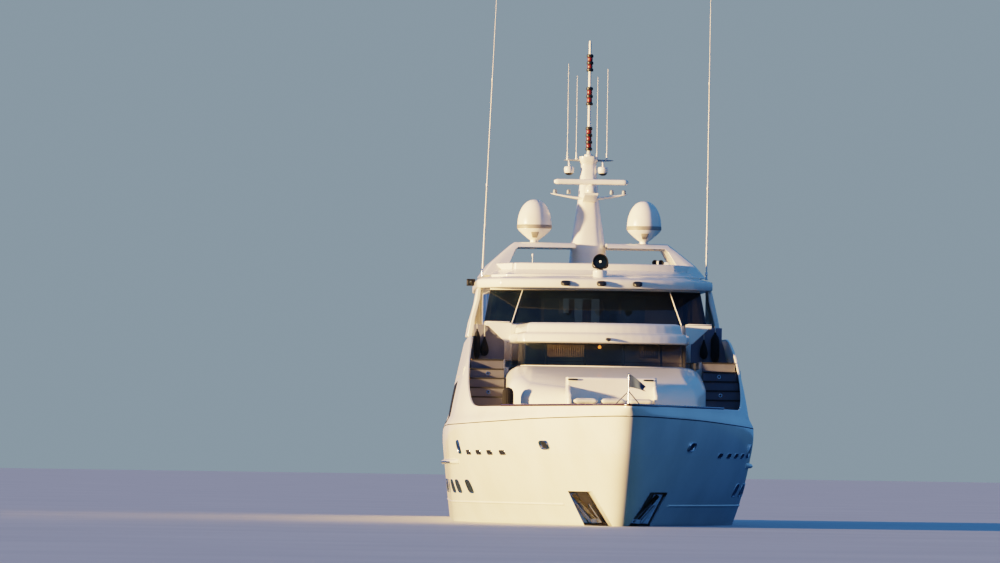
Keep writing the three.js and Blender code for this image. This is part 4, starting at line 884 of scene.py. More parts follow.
def trunk_top(rings=26, foot=1.8):
    """Rings from the deck up over the rounded shoulder to the sill. Inset grows as 1 - cos a and height as sin a
    round the edge; then the ring moves towards the room's plan as it climbs the slope."""
    rows = [level("trunk", 0.0, z) for z in (foot, foot + 0.6)]
    y = rows[0][:, 1]
    slope = lambda y: 3.283 + (SILL - 3.283) * np.clip((y + MID - 8.0) / 3.75, 0, 1)
    for a in np.linspace(0, np.pi / 2, 9)[1:]:
        ring = level("trunk", 0.42 * (1 - np.cos(a)), 0.0)
        ring[:, 2] = slope(ring[:, 1]) - 0.4 * (1 - np.sin(a))
        rows.append(ring)
    for t in np.linspace(0, 1, rings)[1:]:
        ring = level("trunk", 0.42 + 0.02 * t, 0.0, "room_low", t)
        ring[:, 2] = slope(ring[:, 1]) + 0.05 * np.sin(np.pi * t)
        ring[:, 2] = np.minimum(ring[:, 2], SILL - 0.002 * (1 - t))
        rows.append(ring)
    return np.stack(rows)


outside = trunk_top()
trunk = shell("foredeck_trunk_moulding", outside, [level("trunk", 0.1, 1.8), level("trunk", 0.1, 3.1),
    level("trunk", 0.9, 3.2), level("room_low", 0.5, SILL)], WHITE, smooth=50)
cut(trunk, [block((-0.5, 15.1 - MID, 1.7), (0.5, 15.7 - MID, 3.9))], smooth=50)
panel = prism([(2.45, 1.8), (3.72, 1.8), (3.76, 2.9), (3.62, 4.05), (2.45, 4.05)], 12.86 - MID, 12.99 - MID)
bulkhead = joined("foredeck_bulkhead", both_sides(panel), WHITE, doubles=1e-5)
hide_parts("foredeck_trunk")
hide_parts("foredeck_trunk")
print("trunk", len(trunk.data.polygons), "faces")

# %% [markdown]
# Forward room. A low wall carries one dark wrap-round window under a roof that steps forward in two tiers like a cap's
# peak. The glass is a smooth sheet inside the wall, and behind it hang pleated curtains between dark mullions.
# %% Forward room
ROOM_TOP, VISOR_STEP, VISOR_TOP, ROOM_WALL = 4.7, 4.96, 5.23, 0.07
room = shell("forward_room_wall", [level("room_low", 0, SILL), level("room_high", 0, ROOM_TOP)],
    [level("room_low", ROOM_WALL, SILL), level("room_high", ROOM_WALL, ROOM_TOP)], WHITE)
flank = prism(oval(1.7, 0.55, 6) + (14.05 - MID, 4.395), 1.8, 3.0, axis=0)
cut(room, [prism([(-3, 4.12), (3, 4.12), (3, 4.67), (-3, 4.67)], 11.0 - MID, 12.95 - MID)])
cut(room, both_sides(flank))
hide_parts("forward_room")
faces_of = [[level("room_low", inset, SILL + 0.03), level("room_high", inset, 4.695)] for inset in (-0.012, -0.001)]
room_glass = shell("forward_room_pane", *faces_of, FORWARD_GLASS)
cut(room_glass, [block((-4, 14.95 - MID, 3), (4, 16 - MID, 6))])
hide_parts("forward_room_glass")
tiers = [(0.04, ROOM_TOP), (0.0, ROOM_TOP + 0.03), (0.0, 4.86), (0.02, 4.91), (0.06, 4.945), (0.13, VISOR_STEP),
    (0.17, 4.972), (0.185, 5.0), (0.2, 5.1), (0.23, 5.17), (0.29, 5.21), (0.4, VISOR_TOP)]
visor = skin("visor_roof_moulding", [level("visor", *row) for row in tiers], WHITE, caps=True, smooth=50)
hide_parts("visor_roof")
print("forward room ready")

# %% [markdown]
# Wheelhouse. The wall leans back from the sill to the head, so both plans differ. One wide windscreen pane stands
# between slim white posts, with a raked pane wrapping round each corner, and the side windows have round corners.
# %% Wheelhouse
SILL_HIGH, HEAD, HOUSE_WALL = 5.23, 6.2, 0.09
DOOR = (17.5, 18.2)
UPPER_DECK = 4.25
house = shell("wheelhouse_wall", [level("house_floor", 0, UPPER_DECK), level("house_sill", 0, SILL_HIGH),
    level("house_head", 0, HEAD)], [level(h, HOUSE_WALL, z) for h, z in (("house_floor", UPPER_DECK),
    ("house_sill", SILL_HIGH), ("house_head", HEAD))], WHITE)
low, high = SILL_HIGH + 0.04, HEAD - 0.06
screen = prism([(-2.31, low), (2.31, low), (2.03, high), (-2.03, high)], 15 - MID, 16.9 - MID)
corner_points = np.array([[(2.3, 15.0, low), (3.2, 15.0, low), (3.2, 16.75, low), (2.3, 16.75, low)],
    [(2.02, 15.0, high), (3.2, 15.0, high), (3.2, 17.0, high), (2.02, 17.0, high)]])
corner_pane = tube(corner_points - (0, MID, 0))
doorway = block((2.3, DOOR[0] + 0.04 - MID, 4.31), (3.3, DOOR[1] - 0.04 - MID, 6.01))
side_windows = [window_cut(s0, s1, low, high, 2.3, 3.3) for s0, s1 in ((19.3, 21.3), (21.7, 23.4))]
AFT_LIGHTS = ((0.62, 1.02), (1.1, 1.75))
aft_lights = [block((x0, 23.5 - MID, 5.3), (x1, 24.5 - MID, 6.1)) for x0, x1 in AFT_LIGHTS]
cut(house, [screen, block((-0.5, 23.5 - MID, 4.29), (0.5, 24.5 - MID, 6.1))])
cut(house, both_sides(corner_pane, doorway, *side_windows, *aft_lights))
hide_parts("wheelhouse")
faces_of = [[level("house_sill", inset, z, "house_head", (z - SILL_HIGH) / (HEAD - SILL_HIGH))
    for z in (low - 0.02, high + 0.02)] for inset in (-0.006, 0.006)]
house_glass = shell("wheelhouse_panes", *faces_of, SMOKED)
cut(house_glass, [block((-4, 17.05 - MID, 5), (4, 19.28 - MID, 6.3)), block((-4, 23.45 - MID, 5),
    (4, 25 - MID, 6.3))])
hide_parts("wheelhouse_glass")


def front_line(house, inset, x):
    """Y of the front of a house's plan at the given x, read off the ring's forward part."""
    ring = plan(house, inset)
    ahead = ring[ring[:, 1] < ring[:, 1].min() + 1.1]
    ahead = ahead[np.argsort(ahead[:, 0])]
    return np.interp(x, ahead[:, 0], ahead[:, 1])


seams, mullions = [], []
for side in both:
    foot, head = side * 2.25, side * 1.955
    at = [(foot, front_line("house_sill", -0.02, foot), low - 0.01), (head, front_line("house_head", -0.02, head),
        high + 0.01)]
    seams.append(bar(at, 0.017, 8))
    mullions.append(bar([(x * 0.985, y + 0.09, z) for x, y, z in at], 0.045, 8))
joined("windscreen_seams", seams, WHITE)
joined("windscreen_mullions", mullions, BLACK)
aft_panes = [block((x0 - 0.02, 23.93 - MID, 5.28), (x1 + 0.02, 23.942 - MID, 6.12)) for x0, x1 in AFT_LIGHTS]
joined("wheelhouse_aft_panes", both_sides(*aft_panes), SMOKED)
print("wheelhouse", len(house.data.polygons), "faces")

# %% [markdown]
# Roof. Over the wheelhouse lies a slab with a rounded brow. Behind the brow a slope climbs to the coaming of the
# flying bridge.
# %% Roof
ROOF_TOP, COAMING_TOP = 6.56, 6.9
rows = [(0.08, HEAD), (0.02, HEAD + 0.01), (0.0, HEAD + 0.04), (0.0, 6.38), (0.012, 6.415), (0.04, 6.442),
    (0.09, 6.46), (0.3, 6.51), (0.5, 6.553), (0.56, ROOF_TOP)]
slab = skin("roof_brow", [level("roof", *row) for row in rows], WHITE, caps=True, smooth=50)
cut(slab, [block((-0.5, 22.9 - MID, 6.0), (0.5, 23.8 - MID, 7.2))], smooth=50)
climb = [level("slope_foot", 0, ROOF_TOP - 0.08)]
climb += [level("slope_foot", 0, ROOF_TOP + 0.165 * t, "coaming", t) for t in np.linspace(0, 1, 9)]
climb += [level("coaming", *row) for row in ((0.01, 6.875), (0.035, 6.893), (0.065, COAMING_TOP), (0.1, 6.893),
    (0.122, 6.875), (0.13, 6.84))]
coaming = shell("roof_coaming", climb, [level("coaming", 0.13, ROOF_TOP - 0.02), level("coaming", 0.13, 6.7)], WHITE,
    smooth=50)
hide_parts("roof")
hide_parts("roof")
print("roof", len(slab.data.polygons) + len(coaming.data.polygons), "faces")

# %% [markdown]
# Beside the forward room a gusset with a slanted lower edge carries the wheelhouse sill down to the wall, and a thin
# flange caps it.
# %% Shoulder mouldings
shoulder = prism([(2.99, 5.25), (2.3, 5.25), (2.3, 4.72), (2.49, 4.76), (2.91, 5.16), (2.99, 5.17)], 14.86 - MID,
    14.97 - MID)
flange = block((2.35, 14.86 - MID, 5.262), (2.99, 16.1 - MID, 5.285))
joined("shoulder_mouldings", both_sides(shoulder, flange), WHITE, modifiers=ROUNDED)
print("shoulder mouldings ready")

# %% [markdown]
# Side stairs. Ten steps climb from the foredeck to the upper side deck between the trunk and the side wall. Each step
# is a box whose outer edge follows the inside of the hull, with a teak tread, a dark nosing and, in every second
# riser, a small round step light.
# %% Stairs
STAIR_INNER, STAIR_TOP, TREAD, RISERS = 2.6, 12.84, 0.3, 10
RISE = (UPPER_DECK - DECK_Z) / RISERS


def wall_inside(s, z):
    """Half-breadth of the side wall's inner face, with 3 mm left clear."""
    return float(inside(s, z)) - 0.003


def step_plan(s0, s1, z, inner, outer=0.0):
    """Four corners of a step; its outer corners lie on the wall at the height where the wall is narrowest."""
    reach = [min(wall_inside(s, z), wall_inside(s, DECK_Z + 0.1)) - outer for s in (s0, s1)]
    return [(inner, s0 - MID), (reach[0], s0 - MID), (reach[1], s1 - MID), (inner, s1 - MID)]


for name, side in SIDES:
    columns, treads, nosings, lights, lenses = [], [], [], [], []
    for i in range(RISERS):
        s0, top = STAIR_TOP - (RISERS - i) * TREAD, DECK_Z + (i + 1) * RISE
        columns.append(prism(step_plan(s0, s0 + TREAD, top, STAIR_INNER), DECK_Z + 0.001, top - 0.03, axis=2))
        treads.append(prism(step_plan(s0 - 0.01, s0 + TREAD, top, STAIR_INNER, 0.01), top - 0.03, top, axis=2))
        nosings.append(prism(step_plan(s0 - 0.022, s0 + 0.03, top, STAIR_INNER, 0.02), top - 0.036, top + 0.002,
            axis=2))
        if i % 2 == 0:
            at = (3.02, s0 - MID, top - 0.13)
            lights.append(turned([(0, 0), (0.035, 0), (0.045, -0.004), (0.048, -0.012), (0, -0.012)], at, 20, 1))
            lenses.append(turned([(0, 0), (0.03, 0), (0.03, -0.015), (0, -0.018)], at, 16, 1))
    for part, shapes, finish_of in (
            ("risers", columns, RISER), ("treads", treads, TEAK_ACROSS), ("nosings", nosings, RUBBER),
            ("lights", lights, STEEL), ("lenses", lenses, BLACK)):
        piece = joined(f"stairs_{name}_{part}", on_side(shapes, side), finish_of)
        if part == "risers":
            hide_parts(f"stairs_{name}")
print("stairs:", RISERS, "risers of", round(RISE, 3), "m")

# %% [markdown]
# Foredeck lounge: a moulded seat raised on the front of the trunk, with sloping arms and a flight of three steps.
# Each is a side-view outline carried across, and a Bevel rounds every edge as a mould does. Two black ovals on the
# back near its top corners are painted shade of grab recesses.
# %% Lounge
SETTEE_HALF, SETTEE_FRONT, SEAT_Z, SETTEE_TOP, SETTEE_BACK = 1.16, 7.25, 3.08, 3.78, 8.85
seat_body = side_prism([(SETTEE_FRONT + 0.06, 1.802), (SETTEE_BACK - 0.003, 1.802),
    (SETTEE_BACK - 0.003, SETTEE_TOP - 0.003), (8.34, SETTEE_TOP - 0.003), (8.26, SETTEE_TOP - 0.03), (8.22, SEAT_Z),
    (SETTEE_FRONT, SEAT_Z), (SETTEE_FRONT, SEAT_Z - 0.25)], -SETTEE_HALF + 0.02, SETTEE_HALF - 0.02)
arm_line = [(SETTEE_FRONT + 0.42, 1.801), (SETTEE_BACK, 1.801), (SETTEE_BACK, SETTEE_TOP), (8.36, SETTEE_TOP),
    (8.24, 3.54), (SETTEE_FRONT + 0.52, 3.39), (SETTEE_FRONT + 0.44, 3.33), (SETTEE_FRONT + 0.42, 3.2)]
arms = [side_prism(arm_line, side * (SETTEE_HALF - 0.1), side * SETTEE_HALF) for side in both]
step_line = [(SETTEE_FRONT - 0.27 * run, 1.8 + rise) for run, rise in ((3, 0.001), (-0.3, 0.001), (-0.3, 0.96),
    (1, 0.96), (1, 0.64), (2, 0.64), (2, 0.32), (3, 0.32))]
lounge = joined("lounge_moulding", [seat_body, *arms, side_prism(step_line, -0.35, 0.35)], WHITE,
    modifiers=bevel(0.035, 4), smooth=50)
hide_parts("foredeck_settee")
# Black ovals on the back: painted shade of grab recesses.
slots = [prism(oval(0.26, 0.045, 4, 24) + (side * 0.97 - 0.03, SETTEE_TOP - 0.07), 8.2 - MID, 8.275 - MID)
    for side in both]
joined("lounge_grab_slots_painted_shade", slots, BLACK)
print("lounge seat at", SEAT_Z)

# %% [markdown]
# Foredeck. The deck is laid teak inside a white margin. It carries the windlass with two drums, a capstan on each
# side (the starboard one under a black canvas cover), the hatch lid on its coaming, cleats and the jackstaff.
# %% Deck covering and gear
def deck_sheet(name, s0, s1, z, margin, material, rows=60):
    """Plank covering between the side walls: x runs from -w to w, with w the wall's inside less a margin."""
    s = np.linspace(s0, s1, rows)
    w = np.maximum(0.02, inside(s, z, WALL + margin))
    across = np.linspace(-1, 1, 9)
    layers = [np.stack([w[:, None] * across, (s - MID)[:, None] + 0 * across, z + h + 0 * w[:, None] * across], -1)
        for h in (0.002, 0.012)]
    ring = np.concatenate([layers[0], layers[1][:, ::-1]], 1)
    return skin(name, ring, material, caps=True)


foredeck = deck_sheet("foredeck_teak", 1.6, 12.8, DECK_Z, 0.16, TEAK)
half_steps = [(1.2, 6.35), (1.2, 8.3), (2.62, 8.3), (2.62, 9.75), (4, 9.75), (4, 20)]
around = [(x, s - MID) for x, s in half_steps] + [(-x, s - MID) for x, s in half_steps[::-1]]
cut(foredeck, [prism(around, 1.7, 1.9, axis=2), block((-0.37, -14.22, 1.7), (0.37, -13.48, 1.9)),
    block((-0.66, 3.0 - MID, 1.7), (0.66, 3.6 - MID, 1.9))])
cut(foredeck, [turned([(0, -0.1), (0.24, -0.1), (0.24, 0.1), (0, 0.1)], (side * 2.62, 9.12 - MID, 1.8), 32)
    for side in both])
WINDLASS_X, WINDLASS_S = 0.42, 3.3
drum = [(0, 0.1), (0.17, 0.11), (0.175, 0.15), (0.165, 0.172), (0.12, 0.19), (0.1, 0.22), (0.096, 0.3), (0.105, 0.35),
    (0.15, 0.385), (0.165, 0.4), (0.163, 0.425), (0.15, 0.438), (0.03, 0.438), (0.02, 0.43), (0, 0.43)]
gear = [turned(drum, (side * WINDLASS_X, WINDLASS_S - MID, DECK_Z), 36) for side in both]
bed = prism(oval(1.2, 0.5, 8, 48) + (0, WINDLASS_S - MID), DECK_Z + 0.001, DECK_Z + 0.12, axis=2)
chain_pipes = [turned([(0, 0.119), (0.075, 0.119), (0.08, 0.13), (0.07, 0.145), (0.05, 0.14), (0.045, 0.12),
    (0, 0.12)], (side * WINDLASS_X, WINDLASS_S - 0.19 - MID, DECK_Z), 24) for side in both]
windlass = joined("windlass_drums", [*gear, *chain_pipes, bed], STEEL)
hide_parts("windlass")
CAPSTAN_AT = (2.62, 9.12 - MID, DECK_Z + 0.0005)
open_capstan = [(0, 0), (0.21, 0), (0.21, 0.05), (0.19, 0.07), (0.14, 0.1), (0.12, 0.16), (0.115, 0.75), (0.125, 0.8),
    (0.125, 0.86), (0.11, 0.9), (0.1, 0.93), (0.098, 1.02), (0.105, 1.08), (0.145, 1.13), (0.15, 1.16), (0.14, 1.185),
    (0.03, 1.195), (0, 1.195)]
capstan = put("capstan_port_drum", *turned(open_capstan, CAPSTAN_AT, 36), STEEL)
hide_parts("capstan_port")


def cover(height, rim, waist, folds=9, rows=46, columns=96):
    """Canvas bag over the capstan: the radius falls from the rim to the waist, with folds that deepen downwards and
    a drawn-in neck near the foot, r = r0(h) (1 + a(h) sin(folds t))."""
    h = np.linspace(0, 1, rows)[:, None]
    t = np.linspace(0, 2 * np.pi, columns, endpoint=False)[None]
    r = waist + (rim - waist) * np.exp(-h * 9) - 0.035 * np.exp(-((h - 0.16) / 0.05) ** 2)
    r = r * (1 + 0.05 * (1 - h) * np.sin(folds * t + 2.5 * h) + 0.02 * np.sin(17 * t - 4 * h))
    r = r * np.sqrt(np.clip(1 - ((h - 0.86) / 0.14) ** 3, 0, 1)) ** (h > 0.86)
    return np.stack([r * np.cos(t), r * np.sin(t), height * h + 0 * t], -1)


bag = skin("capstan_cover", cover(1.699, 0.205, 0.145) + (-CAPSTAN_AT[0], CAPSTAN_AT[1], CAPSTAN_AT[2]), CANVAS,
    caps=True, doubles=1e-4)
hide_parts("capstan_starboard")


def cleat(x, s, z, turn=0.0):
    """Deck cleat: a bar with horns that rise at both ends, on two feet. Returns its (points, faces) pairs."""
    c, d = math.cos(turn), math.sin(turn)
    spot = lambda u, v, w: (x + u * d + v * c, s - MID + u * c - v * d, z + w)
    horn = bent([spot(-0.21, 0, 0.115), spot(-0.09, 0, 0.09), spot(0.09, 0, 0.09), spot(0.21, 0, 0.115)], 0.06)
    thick = 0.017 * np.sqrt(np.clip(1 - (np.linspace(-1, 1, len(horn))) ** 6, 0.05, 1))
    feet = [turned([(0, 0), (0.045, 0), (0.04, 0.012), (0.02, 0.03), (0.018, 0.09), (0, 0.09)], spot(u, 0, 0), 20)
        for u in (-0.065, 0.065)]
    return [bar(horn, thick, 12), *feet]


cleats = []
for side in both:
    for s, x, turn in ((4.6, 1.42, 0.4), (8.9, 3.02, 0.15), (32.8, 2.98, 0.0)):
        cleats += cleat(side * x, s, DECK_Z + 0.012, side * turn)
joined("mooring_cleats", cleats, STEEL)
lid_rows = [(0.97, 1.9205), (1.0, 1.925), (1.0, 1.955), (0.985, 1.966), (0.94, 1.9702), (0.9, 1.9702)]
lid = skin("hatch_lid_moulding", plan_stack(oval(0.76, 0.76, 10, 48), lid_rows, HATCH), WHITE, caps=True,
    body="hatch")
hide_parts("hatch_lid")
print("foredeck gear ready")

# %% [markdown]
# Anchors. Each lies in its pocket against a polished steel plate, flukes up and the shank running down to the inner
# corner, so the pocket reads as a dark slot with a bright diagonal. A lip frames the pocket's mouth on the hull.
# %% Anchors
def in_pocket(u, v):
    """Front-view point from shares across and up the pocket's four corners."""
    low = POCKET[0] + (POCKET[1] - POCKET[0]) * u
    return low + (POCKET[3] + (POCKET[2] - POCKET[3]) * u - low) * v


def slanted(corners, s0, s1):
    """Closed plate from shares of the pocket between two stations."""
    return prism([in_pocket(u, v) for u, v in corners], s0 - MID, s1 - MID)


for name, side in SIDES:
    plate = [slanted([(0.5, 0.06), (0.97, 0.06), (0.97, 0.95), (0.5, 0.95)], 5.86, 5.949)]
    shank_low, shank_high = in_pocket(0.3, 0.1), in_pocket(0.72, 0.9)
    shank = bar([(*shank_low[:1], 5.55 - MID, shank_low[1]), (*shank_high[:1], 5.7 - MID, shank_high[1])],
        [0.075, 0.055], 4)
    crown = slanted([(0.12, 0.08), (0.62, 0.05), (0.55, 0.2), (0.2, 0.22)], 5.5, 5.8)
    flukes = [slanted([(0.12, 0.1), (0.26, 0.1), (0.3, 0.62), (0.22, 0.66)], 5.6, 5.72),
        slanted([(0.52, 0.06), (0.68, 0.06), (0.86, 0.6), (0.78, 0.62)], 5.6, 5.72)]
    anchor = joined(f"anchor_{name}_stowed", on_side([*plate, shank, crown, *flukes], side), STEEL, modifiers=ROUNDED)
    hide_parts(f"anchor_{name}")
print("anchors stowed")

# %% [markdown]
# Fittings of the roof: wedge lamps under the brow and the visor, a searchlight in a fork, a horn, a small antenna
# and side lights in black boxes. The searchlight rides on the lamp body, so that it pans.
# %% Roof fittings
LIGHT_X, LIGHT_S, LIGHT_Z, LIGHT_R = 0.06, 15.72, 6.92, 0.205
pedestal = turned([(0, 6.47), (0.21, 6.47), (0.21, 6.5), (0.195, 6.52), (0.19, 6.67), (0.17, 6.695), (0.12, 6.699),
    (0, 6.699)], (LIGHT_X, LIGHT_S - MID, 0), 40)
put("searchlight_pedestal", *pedestal, WHITE)
at = (LIGHT_X, LIGHT_S - MID, LIGHT_Z)
barrel = turned([(0, 0.125), (0.06, 0.125), (0.12, 0.1), (0.16, 0.04), (0.185, -0.06), (0.2, -0.11), (0.205, -0.13),
    (0.203, -0.15), (0.19, -0.15), (0.183, -0.135), (0.17, -0.12), (0, -0.12)], at, 48, axis=1)
fork = bar(bent([(LIGHT_X - 0.2, at[1], LIGHT_Z), (LIGHT_X - 0.2, at[1], 6.75), (LIGHT_X + 0.2, at[1], 6.75),
    (LIGHT_X + 0.2, at[1], LIGHT_Z)], 0.1), 0.02, 10)
swivel = turned([(0, 6.7005), (0.09, 6.7005), (0.09, 6.72), (0.05, 6.74), (0.045, 6.765), (0, 6.765)],
    (LIGHT_X, at[1], 0), 28)
lamp_body = joined("searchlight_housing", [barrel, fork, swivel], BLACK, body="lamp")
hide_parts("searchlight")
bowl = turned([(0, -0.122), (0.168, -0.122), (0.168, -0.135), (0.1, -0.127), (0, -0.126)], at, 48, axis=1)
put("searchlight_reflector", *bowl, TINTED, body="lamp")
# Painted glint: the bulb glows faintly.
put("searchlight_bulb", *turned([(0, -0.126), (0.028, -0.128), (0.032, -0.138), (0.02, -0.147), (0, -0.149)], at, 32,
    axis=1), LENS, body="lamp")


def brow_lamp(x, y, z, size):
    """Wedge lamp: a hood whose outline shrinks forwards and droops, from a round base on the brow."""
    rings = []
    steps = ((0.02, 0, 1), (-0.05, 0, 1), (-0.12, -0.015, 0.85), (-0.17, -0.035, 0.55), (-0.18, -0.05, 0.3))
    for reach, drop, k in steps:
        edge = oval(size * 1.5 * k, size * 0.85 * k, 3, 28)
        rings.append(np.stack([x + edge[:, 0], np.full(28, y + reach), z + drop + edge[:, 1]], -1))
    return tube(np.stack(rings))


lamps = [brow_lamp(x, front_line("roof", 0.0, x), 6.33, 0.17) for x in (-0.87, 0.08, 1.04)]
joined("brow_lamps", [*lamps, brow_lamp(0.07, 11.49 - MID, 4.8, 0.09)], BLACK)
horn_at = (1.68, 17.3 - MID, 6.95)
horn = [turned([(0, 0.12), (0.03, 0.12), (0.035, 0.0), (0.05, -0.06), (0.075, -0.1), (0.078, -0.105), (0.06, -0.105),
    (0.03, -0.06), (0, -0.05)], (horn_at[0] + k, horn_at[1], horn_at[2]), 28, axis=1) for k in (-0.08, 0.08)]
stand = block((horn_at[0] - 0.13, horn_at[1] - 0.05, 6.87), (horn_at[0] + 0.13, horn_at[1] + 0.1, 6.9))
joined("air_horn", [*horn, stand], BLACK)
joined("horn_floodlight", [block((horn_at[0] - 0.03, horn_at[1] - 0.11, 6.88), (horn_at[0] + 0.03, horn_at[1], 7.0)),
    block((horn_at[0] + 0.15, horn_at[1] - 0.1, 6.87), (horn_at[0] + 0.3, horn_at[1], 6.97))], DOME_WHITE,
    modifiers=ROUNDED)
aerial_foot = (-1.66, 17.3 - MID)
joined("gps_aerial", [bar([(*aerial_foot, 6.86), (*aerial_foot, 7.08)], 0.014),
    turned([(0, 0), (0.02, 0), (0.028, 0.02), (0.03, 0.05), (0.02, 0.07), (0, 0.075)], (*aerial_foot, 7.07), 24)],
    DOME_WHITE)
side_boxes, side_lenses = [], []
for side in both:
    x0, x1 = sorted((side * 3.09, side * 3.31))
    side_boxes.append(block((x0, 19.75 - MID, 6.32), (x1, 20.1 - MID, 6.48)))
    side_boxes.append(block((x0 - 0.002, 19.7 - MID, 6.48), (x1 + 0.002, 20.14 - MID, 6.5)))
    side_lenses.append(turned([(0, 6.34), (0.04, 6.34), (0.045, 6.36), (0.045, 6.44), (0.04, 6.47), (0, 6.47)],
        (side * 3.22, 19.74 - MID, 0), 20))
joined("side_light_boxes", side_boxes, BLACK, modifiers=ROUNDED)
joined("side_light_lenses", side_lenses, TINTED)
print("roof fittings ready")

# %% [markdown]
# Wings and whips. A raked plate on each side carries the roof's edge down to the side deck. It is a thin loft that
# leans inwards as it rises. The whip aerials are tapered glassfibre rods, each in a steel base on the roof's edge.
# %% Wings and whip aerials
wing_line = [(16.9, 4.9003), (18.5, 4.9003), (18.42, 5.3), (18.22, 5.8), (18.1, 6.1997), (17.1, 6.1997), (17.02, 5.9),
    (16.93, 5.4)]
rise = lambda z: np.clip((z - 4.9) / 1.3, 0, 1)
tilt = lambda z: 0.24 * rise(z) ** 2 * (3 - 2 * rise(z))
for name, side in SIDES:
    s, z = np.array(wing_line).T
    rings = [np.stack([x0 - tilt(z) * k, s - MID, z], -1) * (side, 1, 1) for x0, k in ((3.25, 1.0), (3.39, 1.08))]
    wing = skin(f"wing_{name}_plate", rings, WHITE, caps=True, modifiers=SOFTER)
    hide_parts(f"wing_{name}")
    lean_x = 0.0367 if side < 0 else 0.002
    foot = np.array([side * 2.96 - (0.055 if side < 0 else 0), 16.9 - MID, 6.5])
    heights = np.array([0.0, 0.1, 2.4, 2.42, 2.48, 2.5, 5.2, 5.22, 5.28, 5.3, 8.0])
    radii = np.array([0.02, 0.023, 0.018, 0.026, 0.026, 0.016, 0.013, 0.02, 0.02, 0.011, 0.006])
    rod = bar(foot + np.stack([lean_x * heights, 0 * heights, heights], -1), radii, 14)
    base = turned([(0, 0), (0.05, 0), (0.05, 0.012), (0.03, 0.03), (0.027, 0.12), (0.033, 0.125), (0.033, 0.2),
        (0.024, 0.215), (0, 0.215)], foot, 24)
    whip = put(f"whip_{name}_rod", *rod, AERIAL)
    put(f"whip_{name}_base", *base, STEEL)
    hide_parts(f"whip_{name}")
    pole_x = side * 3.0
    put(f"corner_pole_{name}", *bar([(pole_x, 17.4 - MID, 4.92), (pole_x, 17.4 - MID, 6.2)], 0.022, 14), WHITE)
    z = np.linspace(4.9, 6.1997, 14)[:, None]
    sweep = np.linspace(0, 1, 12)[None]
    outer_x = 3.0 + (0.345 - tilt(z)) * np.sin(sweep * np.pi / 2)
    screen_points = np.stack([side * outer_x, 17.4 - MID + 0.5 * (1 - np.cos(sweep * np.pi / 2)) + 0 * z,
        z + 0 * sweep], -1)
    skin(f"wing_{name}_screen", screen_points, WHITE, flip=side < 0, modifiers=solid(0.03, -1))
print("wings and whips ready")

# %% [markdown]
# Deck gates. Behind the stairs a moulded gate closes each upper side deck. Two fenders hang on it: a long one and a
# pear-shaped one, in dark fleece covers with white rope. All of that swings with the gate.
# %% Deck gates and fenders
GATE_S, GATE_THICK = 15.25, 0.045
gate_line = np.array([(2.47, 4.27), (3.42, 4.27), (3.36, 4.6), (3.285, 4.88), (3.285, 5.2), (2.47, 5.2)])
LONG_FENDER = [(0, 0), (0.02, 0.0), (0.05, 0.02), (0.085, 0.07), (0.11, 0.14), (0.115, 0.2), (0.115, 0.56),
    (0.11, 0.62), (0.085, 0.69), (0.05, 0.74), (0.03, 0.76), (0.028, 0.8), (0.012, 0.815), (0, 0.815)]
PEAR_FENDER = [(0, 0), (0.03, 0.0), (0.08, 0.025), (0.115, 0.08), (0.125, 0.15), (0.115, 0.23), (0.085, 0.32),
    (0.055, 0.4), (0.035, 0.46), (0.028, 0.5), (0.012, 0.515), (0, 0.515)]
for name, side in SIDES:
    body = f"deck_leaf_{name}"
    panel = prism(gate_line, GATE_S - MID, GATE_S + GATE_THICK - MID)
    pin = turned([(0, 4.2503), (0.022, 4.2503), (0.022, 4.27), (0, 4.27)], (3.275, GATE_S + 0.0225 - MID, 0), 20)
    # The leaf's grey is painted shade on its white gelcoat.
    gate = joined(f"deck_gate_{name}_leaf", on_side([panel, pin], side), SHADOW_WHITE, body=body, modifiers=ROUNDED)
    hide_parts(f"deck_gate_{name}")
    front = GATE_S - 0.13 - MID
    hung = {1: [(LONG_FENDER, 3.1, 4.27, 1.0), (PEAR_FENDER, 2.8, 4.37, 0.85)],
        -1: [(LONG_FENDER, 3.2, 4.27, 0.72), (PEAR_FENDER, 3.0, 4.37, 0.9)]}[side]
    covers = [turned([(r * wide, h) for r, h in profile], (side * x, front, z), 36) for profile, x, z, wide in hung]
    joined(f"fenders_{name}", covers, FENDER, body=body)
    ropes = []
    for profile, x, z, _ in hung:
        top = z + profile[-1][1]
        ropes.append(bar(bent([(side * x, front, top - 0.03), (side * x, front, 5.17),
            (side * x, front + 0.09, 5.235), (side * x, front + 0.17, 5.23), (side * x, front + 0.2, 5.1)], 0.05),
            0.009, 8))
    joined(f"fender_ropes_{name}", ropes, ROPE, body=body)
print("gates and fenders ready")

# %% [markdown]
# Radar arch. Two legs rise from the coaming and lean inwards to a thin cross beam. The arch is one front-view loop,
# sheared aft as it rises. The beam carries the domes and lets the mast's fairing through.
# %% Arch
ARCH_OUT = [(2.98, 6.5603), (2.86, 6.74), (2.74, 6.9003), (2.3, 7.3), (2.15, 7.43), (2.06, 7.5)]
ARCH_IN = [(2.5, 6.5603), (2.5, 6.75), (2.5, 6.9003), (2.25, 6.9003), (2.02, 7.31), (1.95, 7.42)]


def arch_loop(inset):
    """Front-view loop (n, 2): up the outside, across the top, back along the inside, moved inwards by inset."""
    out, back = np.array(ARCH_OUT), np.array(ARCH_IN)
    out = out - inset * np.array([[1, 0]] * 4 + [[0.8, 0.6], [0.3, 1]])
    back = back + inset * np.array([[0, 0]] * 3 + [[0, 0], [0.8, -0.4], [0.3, -1]])
    return np.concatenate([out, out[::-1] * (-1, 1), back * (-1, 1), back[::-1]])


def arch_ring(station, lean, inset):
    """The loop at a station, sheared by lean for each metre above the roof."""
    loop = arch_loop(inset)
    return np.stack([loop[:, 0], station - MID + (loop[:, 1] - ROOF_TOP) * lean, loop[:, 1]], -1)


